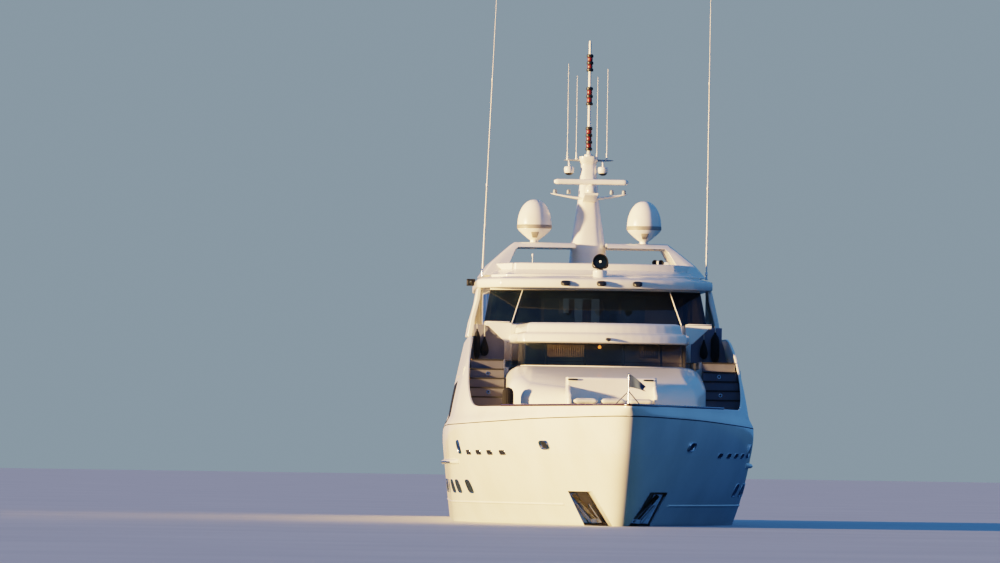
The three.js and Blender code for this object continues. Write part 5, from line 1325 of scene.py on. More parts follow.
arch_rows = [(17.5, 1.9, 0.05), (17.52, 1.9, 0.02), (17.56, 1.9, 0.0), (21.44, -0.3, 0.0), (21.48, -0.3, 0.02),
    (21.5, -0.3, 0.05)]
arch = skin("arch_legs", [arch_ring(*row) for row in arch_rows], WHITE, caps=True, smooth=40)
cut(arch, [block((-0.43, 17.0 - MID, 7.2), (0.43, 20.4 - MID, 7.7))], smooth=40)


def fairing(rows, name):
    """Streamlined tower: superellipse sections through (height, half width, front, aft) rows."""
    table = np.array(rows)
    z = np.linspace(table[0, 0], table[-1, 0], 60)
    half, front, aft = (np.interp(z, table[:, 0], table[:, k]) for k in (1, 2, 3))
    edge = oval(2.0, 2.0, 3.2, 56)
    half, middle, deep, z = (v[:, None] for v in (half, (front + aft) / 2 - MID, (aft - front) / 2, z))
    rings = np.stack([half * edge[:, 0], middle + deep * edge[:, 1], z + 0 * edge[:, 0]], -1)
    return skin(name, rings, WHITE, caps=True, smooth=40)


trunk_rows = [(6.5603, 0.545, 19.85, 21.7), (7.5, 0.455, 20.16, 21.61)]
mast_rows = [(7.5003, 0.455, 20.16, 21.61), (8.1, 0.36, 20.42, 21.55), (8.68, 0.285, 20.65, 21.5),
    (9.2, 0.235, 20.83, 21.45), (9.69, 0.205, 20.96, 21.42), (9.8, 0.25, 20.9, 21.48), (9.9, 0.255, 20.9, 21.48)]
tower = fairing(trunk_rows, "mast_trunk")
for piece in (arch, tower):
    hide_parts("arch")
mast = fairing(mast_rows, "mast_fairing")
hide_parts("mast")
print("arch and mast ready")

# %% [markdown]
# Mast fittings: spreader with navigation lights, a shelf with the radar's gearbox, the crosstree with four aerials,
# two small hanging camera domes, and the pole with its stacked lamps. The radar array itself turns with its body.
# %% Mast fittings
def wing_beam(half, z, tip_rise, s, chord, thick):
    """Beam along X: ellipse sections whose chord and thickness shrink towards the tips, which rise by tip_rise."""
    x = np.linspace(-half, half, 41)
    k = np.abs(x) / half
    edge = oval(1.0, 1.0, 2.4, 20)
    size = np.sqrt(np.clip(1 - k ** 8, 0.02, 1)) * (1 - 0.45 * k)
    middle = z + tip_rise * np.clip(k * 1.25 - 0.25, 0, 1) ** 1.2
    rings = np.stack([x[:, None] + 0 * edge[:, 0], s - MID + chord * size[:, None] * edge[:, 0],
        middle[:, None] + thick * size[:, None] * edge[:, 1]], -1)
    return tube(rings)


spreader = wing_beam(1.05, 8.75, 0.13, 20.8, 0.26, 0.09)
shelf = side_prism([(19.5, 8.8), (19.9, 8.76), (20.9, 8.61), (20.9, 8.86), (19.5, 8.86)], -0.18, 0.18)
gearbox = turned([(0, -0.24), (0.16, -0.24), (0.17, -0.2), (0.165, -0.1), (0.14, -0.05), (0.11, -0.03), (0.1, -0.021),
    (0, -0.021)], (0, 19.7 - MID, 9.09), 36)
joined("mast_spreader", [spreader, shelf, gearbox], WHITE)
joined("mast_crosstree", [wing_beam(0.68, 9.8, 0.0, 21.15, 0.09, 0.07)], GREY)
aerials = []
for x, top in ((-0.58, 12.42), (-0.34, 12.1), (0.22, 12.06), (0.49, 12.3)):
    h = np.array([9.8, 9.86, 9.87, 10.0, 10.02, top - 0.02, top])
    radii = np.array([0.028, 0.028, 0.02, 0.02, 0.012, 0.006, 0.004])
    aerials.append(bar(np.stack([0 * h + x, 0 * h + 21.15 - MID, h], -1), radii, 12))
joined("mast_aerials", aerials, AERIAL)
globe = [(0, -0.135), (0.05, -0.13), (0.095, -0.1), (0.125, -0.05), (0.135, 0.0), (0.135, 0.06), (0.12, 0.09),
    (0.05, 0.11), (0, 0.11)]
eye = [(0, -0.138), (0.052, -0.133), (0.098, -0.103), (0.115, -0.075), (0.1, -0.07), (0, -0.07)]
cameras_at = [(x, 20.98 - MID, 9.52) for x in (-0.54, 0.38)]
brackets = [bar(bent([(x, y, 9.62), (x, y, 9.7), (x, y + 0.15, 9.78)], 0.05), 0.025, 12) for x, y, _ in cameras_at]
for part, profile, finish_of in (("lenses", eye, BLACK), ("domes", globe, DOME_WHITE)):
    joined(f"camera_{part}", [turned(profile, at, 32) for at in cameras_at], finish_of)
joined("camera_brackets", brackets, WHITE)
small_rows = [(0, 0), (0.05, 0), (0.055, 0.03), (0.05, 0.1), (0.03, 0.12), (0, 0.125)]
small = [turned(small_rows, (x, 20.8 - MID, 8.87), 24) for x in (-0.92, -0.55, 0.62, 0.95)]
joined("spreader_lights", small, GREY)
POLE = (0, 21.19 - MID, 9.9003)
shaft_profile = [(0, 0), (0.12, 0), (0.12, 0.05), (0.06, 0.08), (0.045, 0.12), (0.036, 3.1), (0.03, 3.148),
    (0, 3.149)]
pole = put("mast_pole_tube", *turned(shaft_profile, POLE, 28), AERIAL, slot="mast_paint")
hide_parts("mast_pole")


def lamp_stack(low, high, count):
    """Profile of count lamps on one stem between two heights: shade, lens and cap for each."""
    pitch = (high - low) / count
    rows = [(r, low + (k + share) * pitch) for k in range(count) for r, share in ((0.05, 0), (0.066, 0.2),
        (0.072, 0.5), (0.066, 0.8), (0.05, 0.9))]
    return [(0.0, low), *rows, (0.05, high), (0.0, high)]


clusters = [(0.2, 0.78, 3), (1.43, 1.86, 2), (2.35, 2.75, 2)]
joined("mast_lamps", [turned(lamp_stack(*row), POLE, 28) for row in clusters], MAROON)
cap_rows = [(0, 0), (0.088, 0), (0.092, 0.01), (0.092, 0.06), (0.07, 0.085), (0, 0.085)]
caps_at = [z for low, high, count in clusters for z in np.linspace(low - 0.03, high - 0.05, count + 1)]
joined("mast_lamp_caps", [turned([(r, h + z) for r, h in cap_rows], POLE, 28) for z in caps_at], BLACK)
RADAR_S, RADAR_Z = 19.7, 9.09
x = np.linspace(-1, 1, 33)
size = np.clip(1 - np.abs(x) ** 40, 0.3, 1) ** 0.5
edge = oval(0.22, 0.145, 4, 28)
beam = np.stack([x[:, None] + 0 * edge[:, 0], RADAR_S - MID + size[:, None] * edge[:, 0],
    RADAR_Z + 0.0728 + size[:, None] * edge[:, 1]], -1)
neck = turned([(0, -0.0195), (0.07, -0.0195), (0.075, 0.0), (0.09, 0.01), (0, 0.012)], (0, RADAR_S - MID, RADAR_Z),
    28)
radar = joined("radar_array_bar", [tube(beam), neck], DOME_WHITE, body="radar")
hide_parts("radar_array")
print("mast fittings ready")

# %% [markdown]
# Satellite domes. A radome is a drum with a domed cap on a conical skirt. The seam between skirt and drum is a grey
# gasket, and the skirt has a rectangular vent. The cap is a quarter ellipse, r = R cos a and h = H sin a.
# %% Domes
DOME_R, DOME_SEAT = 0.47, 7.5003
a = np.linspace(0, np.pi / 2, 22)
cap = np.stack([0.462 * np.cos(a) ** 0.92, 0.5 + 0.688 * np.sin(a)], -1)
for name, side in SIDES:
    at = (side * 1.485, 20.35 - MID, DOME_SEAT)
    lower = turned([(0, 0), (0.16, 0), (0.16, 0.02), (0.11, 0.035), (0.11, 0.09), (0.2, 0.15), (0.33, 0.26),
        (0.42, 0.345), (0.452, 0.395), (0.452, 0.41), (0, 0.41)], at, 64)
    upper = turned([(0, 0.48), (0.455, 0.48), *cap], at, 64)
    dome = joined(f"dome_{name}_shell", [lower, upper], DOME_WHITE, smooth=30)
    put(f"dome_{name}_gasket", *turned([(0, 0.4), (0.458, 0.4), (DOME_R, 0.412), (DOME_R, 0.49), (0.462, 0.502),
        (0, 0.502)], at, 64), RING_GREY)
    bolts = [turned([(0, 0), (0.012, 0), (0.01, 0.012), (0, 0.014)], (at[0] + 0.135 * math.cos(k * 1.047),
        at[1] + 0.135 * math.sin(k * 1.047), at[2] + 0.018), 10) for k in range(6)]
    joined(f"dome_{name}_bolts", bolts, STEEL)
    turn = np.linspace(-0.28, 0.28, 9) - np.pi / 2
    vent = np.stack([np.stack([r * np.cos(turn), r * np.sin(turn), z + 0 * turn], -1)
        for r, z in ((0.219, 0.154), (0.389, 0.298))])
    skin(f"dome_{name}_vent", vent + at, RING_GREY, flip=True, modifiers=solid(0.006))
    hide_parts(f"dome_{name}")
print("domes ready")

# %% [markdown]
# Saloon windows and decks. The saloon's glass is one dark sheet inside the side wall, laid on the hull's own curve,
# with pleated blinds behind it. The upper deck and the cockpit are laid teak, as the foredeck is.
# %% Saloon glass, blinds and decks
def hang(name, path, heights, depth, pitch, material, flip=False):
    """Pleated cloth hung along a path (n, 2) between two heights: its points step sideways by +depth and -depth at
    every half pitch. Its flat width is measured along the pleats."""
    path = np.asarray(path, float)
    length = np.concatenate([[0], np.cumsum(np.linalg.norm(np.diff(path, axis=0), axis=1))])
    count = int(length[-1] / pitch) * 2 + 1
    at = np.linspace(0, length[-1], count)
    middle = np.stack([np.interp(at, length, path[:, k]) for k in (0, 1)], -1)
    ahead = np.gradient(middle, axis=0)
    ahead /= np.linalg.norm(ahead, axis=1, keepdims=True)
    sideways = np.stack([-ahead[:, 1], ahead[:, 0]], -1) * np.where(np.arange(count) % 2, depth, -depth)[:, None]
    line = middle + sideways
    z = np.linspace(*heights, 3)[:, None]
    cloth = np.stack([line[None, :, 0] + 0 * z, line[None, :, 1] + 0 * z, z + 0 * line[None, :, 0]], -1)
    curtain = skin(name, cloth, material, flip=flip, smooth=20, modifiers=solid(0.002))


for name, side in SIDES:
    s, z = np.meshgrid(np.linspace(16.2, 27.2, 45), np.linspace(2.5, 3.8, 6), indexing="ij")
    pane = skin(f"saloon_pane_{name}", at_hull(s, z, 0.096 - WALL, side), TINTED, flip=side < 0,
        modifiers=solid(0.02, -1))
    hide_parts(f"saloon_glass_{name}")
    frames = []
    for s0, s1 in SALOON_WINDOWS:
        edge = oval(s1 - s0 + 0.02, SALOON_HEAD - SALOON_SILL + 0.02, 6, 72)
        rows = [(1.0, -0.06), (1.0, 0.004), (0.985, 0.01), (0.965, 0.006), (0.96, -0.06)]
        rings = np.stack([at_hull((s0 + s1) / 2 + k * edge[:, 0], (SALOON_SILL + SALOON_HEAD) / 2 + k * edge[:, 1],
            out, side) for k, out in rows])
        frames.append((rings, grid_faces(len(rows), 72, True)))
    joined(f"saloon_window_frames_{name}", frames, BLACK, doubles=1e-5)
    for k, (s0, s1) in enumerate(SALOON_WINDOWS):
        along = np.linspace(s0, s0 + 0.75, 12)
        path = at_hull(along, 3.15 + 0 * along, -WALL - 0.02, side)[:, :2]
        hang(f"saloon_curtain_{name}_{k + 1}", path, (2.35, 3.85), 0.035, 0.11, CURTAIN, side < 0)
upper_teak = deck_sheet("upper_deck_teak", 15.32, 29.98, UPPER_DECK, 0.0, TEAK, 90)
cut(upper_teak, [turned([(0, -0.1), (0.02, -0.1), (0.02, 0.1), (0, 0.1)], (side * 3.275, -3.2275, 4.25), 16)
    for side in both])
deck_sheet("cockpit_teak", 29.42, 33.93, DECK_Z, 0.1, TEAK, 40)
deck_sheet("saloon_carpet", 15.6, 29.25, DECK_Z, 0.05, VINYL)
print("saloon windows", len(SALOON_WINDOWS) * 2)

# %% [markdown]
# Deck slab, bulkhead and cockpit. The upper deck ends aft in a rounded overhang over the cockpit. Under it stands the
# saloon's bulkhead with two sliding doors in slim frames, and each door has its pane and an upright pull.
# %% Upper deck, aft bulkhead and saloon doors
def deck_slab(s0, s1, z0, z1):
    """Slab between the side walls: w = b - 0.35 t^3, where t runs from 0 to 1 over the last 0.35 m."""
    s = np.linspace(s0, s1, 90)
    w = inside(s, (z0 + z1) / 2) - 0.004 - 0.35 * np.clip((s - s1 + 0.35) / 0.35, 0, 1) ** 3
    ring = np.concatenate([np.stack([w, s - MID], -1), np.stack([-w, s - MID], -1)[::-1]])
    return prism(ring, z0, z1, axis=2)


slab = joined("upper_deck_slab", [deck_slab(12.862, 30.0, 4.05, UPPER_DECK)], SHADE_WHITE, smooth=50)
cut(slab, [prism(plan("trunk", -0.004), 3.0, 5.0, axis=2)])
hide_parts("upper_deck")
AFT_WALL, OPENING, WALL_Z = (29.3, 29.38), 0.9, (1.8003, 4.0497)


def wall_plan(s0, s1, z0, z1):
    """Bulkhead between the side walls: a prism whose front-view outline follows the inside of the hull."""
    z = np.linspace(z0, z1, 14)
    w = np.array([wall_inside(s1, v) for v in z])
    ring = np.concatenate([np.stack([w, z], -1), np.stack([-w, z], -1)[::-1]])
    return prism(ring, s0 - MID, s1 - MID)


aft_wall = joined("aft_bulkhead_panel", [wall_plan(*AFT_WALL, *WALL_Z)], WHITE)
cut(aft_wall, [prism([(-OPENING, 1.86), (OPENING, 1.86), (OPENING, 3.95), (-OPENING, 3.95)], 29.0 - MID, 29.6 - MID)])
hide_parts("aft_bulkhead")
track = [bar([(-1.85, 29.4 - MID, 4.03), (1.85, 29.4 - MID, 4.03)], 0.012, 8)]
joined("saloon_door_track", track, ALUMINIUM)


def framed_leaf(name, body, corners, depth, frame_width, axis, finish_of):
    """Framed pane: rectangle corners (u0, u1, z0, z1), four frame bars and a pane between depth's two values. The
    leaf stands for the CAD node of its own name."""
    u0, u1, z0, z1 = corners
    hole = (u0 + frame_width, u1 - frame_width, z0 + frame_width, z1 - frame_width)
    rect = lambda a, b, c, d: [(a, c), (b, c), (b, d), (a, d)]
    sides = [rect(u0, hole[0], z0, z1), rect(hole[1], u1, z0, z1), rect(hole[0], hole[1], z0, hole[2]),
        rect(hole[0], hole[1], hole[3], z1)]
    leaf = joined(f"{name}_frame", [prism(outline, *depth, axis=axis) for outline in sides], finish_of, body=body)
    middle, half = sum(depth) / 2, 0.2 * (depth[1] - depth[0])
    put(f"{name}_pane", *prism(rect(*hole), middle - half, middle + half, axis=axis), TINTED, body=body)
    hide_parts(name)


def pull(name, corners, body):
    """Upright handle of bent steel tube through four corners."""
    put(name, *bar(bent(corners, 0.02), 0.009), STEEL, body=body)


for name, side in SIDES:
    u = sorted((side * 0.004, side * 0.93))
    framed_leaf(f"saloon_door_{name}", f"saloon_leaf_{name}", (*u, 1.802, 4.008), (29.388 - MID, 29.433 - MID), 0.06,
        1, ALUMINIUM)
    x, y = side * 0.034, 29.433 - MID
    pull(f"saloon_pull_{name}", [(x, y + out, z) for out, z in ((-0.004, 2.75), (0.035, 2.75), (0.035, 3.15),
        (-0.004, 3.15))], f"saloon_leaf_{name}")
    u = (DOOR[0] - MID, DOOR[1] - MID)
    depth = sorted((side * 2.728, side * 2.768))
    framed_leaf(f"wheelhouse_door_{name}", f"house_door_{name}", (*u, 4.251, 6.05), depth, 0.075, 0, WHITE)
    x, y = side * 2.768, u[0] + 0.04
    pull(f"wheelhouse_pull_{name}", [(x + side * out, y, z) for out, z in ((-0.004, 5.0), (0.035, 5.0), (0.035, 5.3),
        (-0.004, 5.3))], f"house_door_{name}")
    x0, x1 = sorted((side * 3.32, side * 3.37))
    leaf = joined(f"side_gate_{name}_leaf", [block((x0, GATE[0] - MID + 0.0005, 1.867),
        (x1, GATE[1] - MID - 0.007, 2.74))], WHITE, body=f"gate_{name}", modifiers=ROUNDED)
    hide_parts(f"side_gate_{name}")
    latch = [turned([(0, -0.004), (0.03, -0.004), (0.03, 0.006), (0.012, 0.01), (0.01, 0.02), (0, 0.02)],
        (x0 + (0.0 if side > 0 else 0.05), GATE[1] - 0.08 - MID, 2.5), 18, axis=0)]
    joined(f"side_gate_{name}_latch", latch, STEEL, body=f"gate_{name}")
print("doors and gates ready")

# %% [markdown]
# Stern. Rails of bent steel tube guard the upper deck's aft end. The transom has the garage door, which lifts on
# hinges along its top, and stairs on both sides lead down to a swim platform with rounded corners.
# %% Rails, garage door and swim platform
RAIL_X, RAIL_S, RAIL_TOP = 2.9, (28.0, 29.9), UPPER_DECK + 1.0
corner = lambda z: [(x, s - MID, z) for x, s in ((-RAIL_X, RAIL_S[0]), (-RAIL_X, RAIL_S[1]), (RAIL_X, RAIL_S[1]),
    (RAIL_X, RAIL_S[0]))]
tubes = [bar(bent(corner(z), 0.18, 8), radius, 12) for z, radius in ((RAIL_TOP, 0.022), (UPPER_DECK + 0.55, 0.014),
    (UPPER_DECK + 0.28, 0.014), (UPPER_DECK + 0.8, 0.014))]
feet = [(-1, 0), (-1, 0.5), (-0.97, 0.97), (-0.5, 1), (0, 1), (0.5, 1), (0.97, 0.97), (1, 0.5), (1, 0)]
for across, back in feet:
    at = (across * RAIL_X, RAIL_S[0] + (RAIL_S[1] - RAIL_S[0]) * back - MID)
    tubes.append(bar([(*at, UPPER_DECK + 0.001), (*at, RAIL_TOP)], 0.018, 12))
    tubes.append(turned([(0, 0.0005), (0.045, 0.0005), (0.045, 0.008), (0.022, 0.016), (0, 0.016)], (*at, UPPER_DECK),
        20))
rail = joined("aft_rail_tubes", tubes, STEEL)
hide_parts("aft_rail")
door_rows = [(0.99, 15.632), (1.0, 15.64), (1.0, 15.69), (0.995, 15.698), (0.97, 15.7), (0.96, 15.696),
    (0.94, 15.696), (0.93, 15.7)]
rings = [np.insert(oval(2.588, 0.993, 14, 64) * k + (0, 1.1535), 1, y, axis=1) for k, y in door_rows]
door = skin("garage_door_panel", rings, HULL_WHITE, caps=True, body="garage", smooth=40)
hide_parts("garage_door")
hinges = [bar([(x - 0.08, 15.7, 1.64), (x + 0.08, 15.7, 1.64)], 0.012, 12) for x in (-0.9, 0.0, 0.9)]
joined("garage_hinges", hinges, STEEL, body="garage")
PLATFORM_Z, PLATFORM_X = (0.23, 0.45), 3.1
outline = oval(2 * PLATFORM_X, 4.6, 7, 96) + (0, 34.7 - MID)
outline = outline[outline[:, 1] > 15.7005]
outline = np.concatenate([[(PLATFORM_X, 15.7005)], outline, [(-PLATFORM_X, 15.7005)]])
order = np.argsort(np.arctan2(outline[:, 1] - 15.7, outline[:, 0]))
outline = outline[order]
slab = prism(outline, *PLATFORM_Z, axis=2)
flight, treads = [], []
climb = (DECK_Z - PLATFORM_Z[1]) / 6
for i in range(1, 6):
    y = 15.7005 + (5 - i) * 0.24
    top = PLATFORM_Z[1] + i * climb
    flight.append(block((1.5, y, PLATFORM_Z[1] - 0.01), (3.0, y + 0.24, top - 0.02)))
    treads.append(block((1.53, y + 0.005, top - 0.021), (2.97, y + 0.245, top)))
moulding = joined("swim_platform_moulding", [slab, *both_sides(*flight)], WHITE, modifiers=ROUNDED)
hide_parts("swim_platform")
joined("swim_platform_treads", both_sides(*treads), TEAK_ACROSS)
inner = (outline - (0, 16.9)) * (0.95, 0.9) + (0, 16.93)
platform_teak = joined("swim_platform_teak", [prism(inner, 0.446, 0.458, axis=2)], TEAK)
cut(platform_teak, [block((1.49, 15.6, 0.3), (3.01, 16.91, 0.6)), block((-3.01, 15.6, 0.3), (-1.49, 16.91, 0.6))])
rails = [bar(bent([(x, 15.72, 1.86), (x, 15.72, 2.6), (x, 15.95, 2.6), (x, 16.85, 1.35), (x, 16.85, 0.45)], 0.1),
    0.018, 12) for x in (1.42, -1.42)]
joined("stern_handrails", rails, STEEL)
print("stern ready")

# %% [markdown]
# Upholstery. A marine cushion is foam in a sewn vinyl cover, so it bulges between its seams. Each pad starts as a
# rounded block a little smaller than the finished cushion and is blown up as cloth, as foam fills its cover.
# %% Cushions
def pillow(centre, size, plan_power=0.22, side_power=0.4):
    """Rounded block: x = a c(v, e1) c(u, e2), y = b c(v, e1) s(u, e2), z = h s(v, 1.6 e1), with c and s the cosine
    and sine raised to a power that keeps the sign."""
    v = np.linspace(-np.pi / 2, np.pi / 2, 18)[:, None]
    u = np.linspace(0, 2 * np.pi, 56, endpoint=False)[None]
    power = lambda value, e: np.sign(value) * np.abs(value) ** e
    a, b, h = np.array(size) / 2
    x = a * power(np.cos(v), side_power) * power(np.cos(u), plan_power)
    y = b * power(np.cos(v), side_power) * power(np.sin(u), plan_power)
    z = h * power(np.sin(v), side_power * 1.6) + 0 * u
    return np.stack([x, y, z], -1) + centre


def stuffed(piece, voxel, limit, pressure=4.0):
    """Remeshes a pad, lets air pressure swell it for 20 frames and keeps every point within limit of its start."""
    remesh = piece.modifiers.new("remesh", "REMESH")
    remesh.mode, remesh.voxel_size = "VOXEL", voxel
    bpy.context.view_layer.update()
    even = bpy.data.meshes.new_from_object(piece.evaluated_get(bpy.context.evaluated_depsgraph_get()))
    piece.modifiers.clear()
    piece.data = even
    start = np.empty(3 * len(even.vertices))
    even.vertices.foreach_get("co", start)
    cloth = piece.modifiers.new("cloth", "CLOTH")
    cloth.settings.use_pressure, cloth.settings.uniform_pressure_force = True, pressure
    cloth.settings.effector_weights.gravity = 0
    cloth.settings.quality = 4
    for frame in range(1, 21):
        bpy.context.scene.frame_set(frame)
    swollen = piece.evaluated_get(bpy.context.evaluated_depsgraph_get()).to_mesh()
    end = np.empty_like(start)
    swollen.vertices.foreach_get("co", end)
    piece.evaluated_get(bpy.context.evaluated_depsgraph_get()).to_mesh_clear()
    piece.modifiers.clear()
    step = (end - start).reshape(-1, 3)
    length = np.linalg.norm(step, axis=1, keepdims=True)
    step *= np.minimum(1, limit / np.maximum(length, 1e-9))
    even.vertices.foreach_set("co", start + step.ravel())
    even.update()
    even.polygons.foreach_set("use_smooth", np.ones(len(even.polygons), bool))
    bpy.context.scene.frame_set(1)
    piece.modifiers.new("soft", "SUBSURF").render_levels = 1


def cushion(name, centre, size, material=VINYL, limit=0.02):
    """Stuffed pad that fills size once it has swollen by its limit."""
    slim = np.array(size) - (2 * limit, 2 * limit, 1.6 * limit)
    pad = skin(name, pillow(centre, slim), material, wrap=True, doubles=1e-5, smooth=80)
    stuffed(pad, voxel=max(0.011, min(size) / 9), limit=limit)
    return pad


seat_pads = [cushion(f"lounge_seat_pad_{k + 1}", ((k - 1) * 0.7, 7.74 - MID, 3.155), (0.69, 0.92, 0.14))
    for k in range(3)]
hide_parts("settee_cushion")
bench = joined("flybridge_bench", [block((-2.3, 22.0 - MID, 6.5603), (2.3, 22.65 - MID, 6.72)),
    block((-2.3, 22.6 - MID, 6.5603), (2.3, 22.65 - MID, 6.975))], WHITE, modifiers=SOFTER)
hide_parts("flybridge_settee")
for k in range(3):
    x = (k - 1) * 1.52
    cushion(f"flybridge_seat_pad_{k + 1}", (x, 22.27 - MID, 6.79), (1.5, 0.54, 0.14))
    cushion(f"flybridge_back_pad_{k + 1}", (x, 22.56 - MID, 6.89), (1.5, 0.1, 0.17), limit=0.012)
print(len(seat_pads) + 6, "cushions")

# %% [markdown]
# Helm. Behind the windscreen stand a console with a sloping top, three screens under dark glass, a wheel with three
# spokes and a pair of throttle levers, and two leather seats on steel posts.
# %% Helm
CONSOLE_HALF = 1.7
console = joined("helm_console_moulding", [side_prism([(16.52, 4.2505), (17.05, 4.2505), (17.05, 4.38), (17.14, 4.48),
    (17.15, 5.12), (17.12, 5.155), (16.56, 5.285), (16.52, 5.26)], -CONSOLE_HALF, CONSOLE_HALF)], BLACK,
    modifiers=ROUNDED)
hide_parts("helm_console")
slope = math.atan2(5.285 - 5.155, 17.12 - 16.56)
on_top = lambda x, s, up=0.0: (x, s - MID, 5.285 - (s - 16.56) * math.tan(slope) + up)
screens = []
for x, wide in ((-0.62, 0.5), (0.0, 0.56), (0.62, 0.5)):
    outline = [(x - wide / 2, 16.62), (x + wide / 2, 16.62), (x + wide / 2, 16.95), (x - wide / 2, 16.95)]
    rows = [[on_top(u, s, up) for u, s in outline] for up in (-0.01, 0.012)]
    screens.append(tube(np.array(rows)))
joined("helm_screens", screens, TINTED)
hub = np.array(on_top(0.0, 17.2, -0.02))
lean, turn = math.radians(25), np.linspace(0, 2 * np.pi, 41)
across, upright = np.array([1.0, 0, 0]), np.array([0, -math.sin(lean), math.cos(lean)])
rim = hub + 0.19 * (np.cos(turn)[:, None] * across + np.sin(turn)[:, None] * upright)
spokes = [bar([hub, hub + 0.19 * (math.cos(a) * across + math.sin(a) * upright)], 0.008, 8)
    for a in np.radians((90, 210, 330))]
joined("helm_wheel_rim", [bar(rim, 0.013, 10)], LEATHER, doubles=2e-3)
joined("helm_wheel_spokes", [*spokes, bar([hub + (0, -0.1, 0.03), hub], 0.02, 14)], STEEL)
levers = [bar(bent([on_top(x, 16.85, 0), on_top(x, 16.83, 0.1), on_top(x, 16.78, 0.15)], 0.03), 0.009, 10)
    for x in (1.06, 1.11)]
joined("throttle_levers", levers, STEEL)
for name, side in SIDES:
    x = side * 0.7
    stand = turned([(0, 0.0005), (0.225, 0.0005), (0.23, 0.01), (0.21, 0.028), (0.08, 0.05), (0.06, 0.08),
        (0.06, 0.585), (0.12, 0.6), (0.12, 0.612), (0, 0.612)], (x, 17.9 - MID, UPPER_DECK), 32)
    stand = put(f"helm_seat_{name}_stand", *stand, STEEL)
    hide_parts(f"helm_seat_{name}")
    cushion(f"helm_seat_{name}_pad", (x, 17.88 - MID, 4.925), (0.56, 0.52, 0.125), LEATHER, 0.016)
    cushion(f"helm_seat_{name}_back", (x, 18.155 - MID, 5.29), (0.54, 0.11, 0.66), LEATHER, 0.016)
print("helm ready")

# %% [markdown]
# Behind the glass. Pleated curtains hang in the forward room beside dark window posts, with a small wall lamp, and
# red curtains hang in the doorway at the back of the wheelhouse. They show through the dark panes.
# %% Curtains and posts inside
posts = []
for x in (-1.5, -0.5, 0.5, 1.5):
    foot, head = front_line("room_low", 0.13, x), front_line("room_high", 0.13, x)
    posts.append(bar([(x, foot, SILL), (x, head, ROOM_TOP)], 0.028, 8))
joined("forward_room_posts", posts, BLACK)
for k, (x0, x1) in enumerate([(-1.47, -0.53), (0.9, 1.42)]):
    x = np.linspace(x0, x1, 14)
    path = np.stack([x, front_line("room_low", 0.2, x)], -1)
    hang(f"forward_curtain_{k + 1}", path, (4.33, 4.66), 0.016, 0.056, CURTAIN)
lamp_at = (-0.12, front_line("room_low", 0.3, -0.12), 4.56)
put("forward_room_lamp", *turned([(0, 0), (0.03, 0.005), (0.045, 0.03), (0.035, 0.07), (0.012, 0.085), (0, 0.085)],
    lamp_at, 20), LAMP_SHADE)
for k, (x0, x1, z0) in enumerate([(-0.36, -0.2, 5.2), (0.02, 0.26, 4.9)]):
    hang(f"doorway_curtain_{k + 1}", [(x0, 23.7 - MID), (x1, 23.72 - MID)], (z0, 6.08), 0.012, 0.05, RED_CLOTH)
print("curtains hung")

# %% [markdown]
# Bow staff. Two braces and a thin staff stand on the stem-head plate, with a swallow-tailed pennant that streams to
# port. The pennant is one layer of light cloth with two soft waves along it.
# %% Bow staff and pennant
STAFF = (0.0, 0.72 - MID)
plates = [block((-half, s - MID, 3.03), (half, 1.11 - MID, 3.044)) for half, s in ((0.31, 1.03), (0.03, 0.69))]
braces = [bar([(side * 0.3, 1.07 - MID, 3.036), (0, STAFF[1], 3.358)], 0.013, 10) for side in both]
staff = joined("bow_staff", [bar([(*STAFF, 3.03), (*STAFF, 3.8)], [0.016, 0.012], 14), *braces, *plates,
    turned([(0, 0), (0.018, 0.003), (0.022, 0.016), (0.014, 0.03), (0, 0.034)], (*STAFF, 3.766), 16)], STEEL)
s = 0.01 + 1.49 * np.linspace(0, 1, 30) ** 1.9
edge = breadth(s, 3.0) - 0.03
plan_points = np.concatenate([np.stack([edge, s - MID], -1), np.stack([-edge, s - MID], -1)[::-1]])
stem_head = joined("stem_head_plate", [prism(plan_points, 3.0003, 3.03, axis=2)], VARNISH, modifiers=SOFTER)
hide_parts("jackstaff")
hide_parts("jackstaff")


def pennant(length, hoist, notch):
    """Cloth (36, 15, 3): x runs to the fly, narrowing to the tails; y waves as 0.035 u sin(2.4 pi u + v / 2)."""
    u = np.linspace(0, 1, 36)[:, None]
    v = np.linspace(-1, 1, 15)[None]
    reach = length * u * (1 - notch * (1 - np.abs(v)) * u)
    half = hoist / 2 * (1 - 0.62 * u)
    wave = 0.035 * u * np.sin(2.4 * np.pi * u + 0.5 * v)
    drop = -0.5 * length * u ** 1.2
    return np.stack([reach + 0 * v, wave + 0 * v, half * v + drop + 0 * wave], -1)


hoisted = pennant(0.41, 0.33, 0.14) + (0.016, STAFF[1], 3.62)
flag = skin("bow_pennant", hoisted, FLAG, smooth=60, modifiers=solid(0.0012))

# %% [markdown]
# Running gear. Two shafts leave the hull aft and end in bronze propellers with four twisted blades, each held by a
# strut. Behind each one hangs a balanced spade rudder whose section is a symmetrical foil.
# %% Propellers, shafts and rudders
AXIS = np.array([0.0, 0.986758, -0.162199])
UPWARD = np.array([0.0, 0.162199, 0.986758])
PITCH_LENGTH, TIP, ROOT, RUDDER_STOCK_S, SHAFT_X = 0.82, 0.468, 0.07, 32.3, 1.6


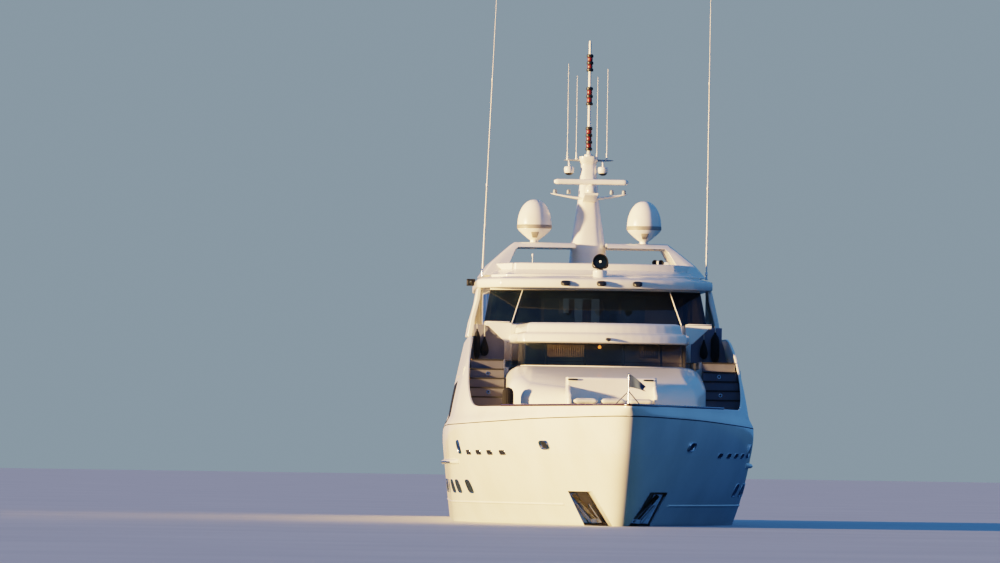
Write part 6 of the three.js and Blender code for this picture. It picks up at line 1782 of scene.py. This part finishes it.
def blade(turn):
    """One blade as closed sections: at a share f of its length the chord is 0.15 + 0.24 sin(0.93 pi f^0.9)^0.8 along
    a helix, with a lens-shaped thickness that thins to the tip."""
    f = np.linspace(0.0, 1.0, 20)[:, None]
    r = ROOT + (TIP - ROOT) * f
    chord = 0.15 + 0.24 * np.sin(np.pi * f ** 0.9 * 0.93) ** 0.8
    chord = chord * np.sqrt(np.clip(1 - f ** 8, 0.02, 1))
    loop = np.linspace(0, 2 * np.pi, 22, endpoint=False)[None]
    along, thick = chord / 2 * np.cos(loop), 0.5 * (0.05 - 0.04 * f) * np.sin(loop) * 0.8
    climb = np.arctan2(PITCH_LENGTH, 2 * np.pi * r)
    skew = 0.25 * f ** 2
    arc = (along * np.cos(climb) - thick * np.sin(climb)) / r + skew + turn
    axial = along * np.sin(climb) + thick * np.cos(climb)
    return np.stack([r * np.sin(arc), axial, r * np.cos(arc)], -1)


for name, side in SIDES:
    centre = np.array([side * 1.6, 30.968 - MID, -1.584])
    frame_of = np.stack([[side, 0, 0], AXIS, UPWARD])
    place = lambda points: points @ frame_of + centre
    blades = [tube(place(blade(k * np.pi / 2))) for k in range(4)]
    profile = [(0, -0.15), (0.1, -0.15), (0.104, -0.13), (0.1, 0.02), (0.08, 0.09), (0.055, 0.13), (0.03, 0.148),
        (0, 0.15)]
    hub_points, hub_faces = turned(profile, (0, 0, 0), 36, axis=1)
    screw = joined(f"propeller_{name}_bronze", [*blades, (place(hub_points), hub_faces)], BRONZE,
        body=f"screw_{name}", smooth=50)
    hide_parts(f"propeller_{name}")
    line, barrel = ([(side * SHAFT_X, s - MID, z) for s, z in rows] for rows in (((26.5, -0.85), (30.4, -1.491),
        (30.815, -1.559)), ((30.4, -1.491), (30.47, -1.5025), (30.76, -1.55), (30.81, -1.5585))))
    strut = skin(f"shaft_strut_{name}", plan_stack(oval(0.05, 0.3, 1.6, 24), [(1.0, -1.48), (0.94, -1.1),
        (1.0, -0.705)], (side * SHAFT_X, 30.51 - MID)), BRONZE, caps=True)
    line_piece = joined(f"shaft_{name}_line", [bar(line, 0.035, 18), bar(barrel, [0.075, 0.105, 0.1, 0.08], 28)],
        BRONZE)
    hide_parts(f"shaft_{name}")
    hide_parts(f"shaft_{name}")
    t = np.linspace(0, 2 * np.pi, 48, endpoint=False)
    c = (1 - np.cos(t)) / 2
    half_thick = 0.2969 * np.sqrt(c) - 0.126 * c - 0.3516 * c ** 2 + 0.2843 * c ** 3 - 0.1036 * c ** 4
    foil = 0.058 * half_thick / half_thick.max() * np.sign(np.sin(t))
    rows = [(0.98, -1.085, 0.9), (1.0, -1.1, 1.0), (0.93, -1.55, 0.92), (0.84, -1.92, 0.82), (0.8, -1.945, 0.6)]
    blade_rings = np.stack([np.stack([side * 1.6 + foil * thin, 32.04 + 0.82 * (0.3 + (c - 0.3) * wide) - MID,
        z + 0 * c], -1) for wide, z, thin in rows])
    rudder = skin(f"rudder_{name}_blade", blade_rings, ANTIFOUL, caps=True, body=f"rudder_{name}_body", smooth=50)
    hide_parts(f"rudder_{name}")
    put(f"rudder_{name}_stock", *turned([(0, -1.12), (0.048, -1.12), (0.048, -0.53), (0, -0.53)],
        (side * 1.6, RUDDER_STOCK_S - MID, 0), 24), STEEL, body=f"rudder_{name}_body")
print("running gear ready")

# %% [markdown]
# The CAD nodes that keep their own shape get their finish here, the first one of the slot that the record gives each
# node. The finish is linked to the object, so the mesh itself stays as it is.
# %% Finishes of the CAD nodes
slot_of = {part["node"]: part["material_slot"] for part in frame["record"]["subparts"]}
for name, node in frame["nodes"].items():
    finish_of_node = SLOTS[slot_of[name]][0]
    for place in node.material_slots:
        place.link = "OBJECT"
        place.material = finish_of_node
    if not node.material_slots:
        node.data.materials.append(finish_of_node)
print(len(frame["nodes"]), "CAD nodes finished")

# %% Bounding boxes
{"cad": CAD_BOX, "visual": [list(corner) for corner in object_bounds()]}
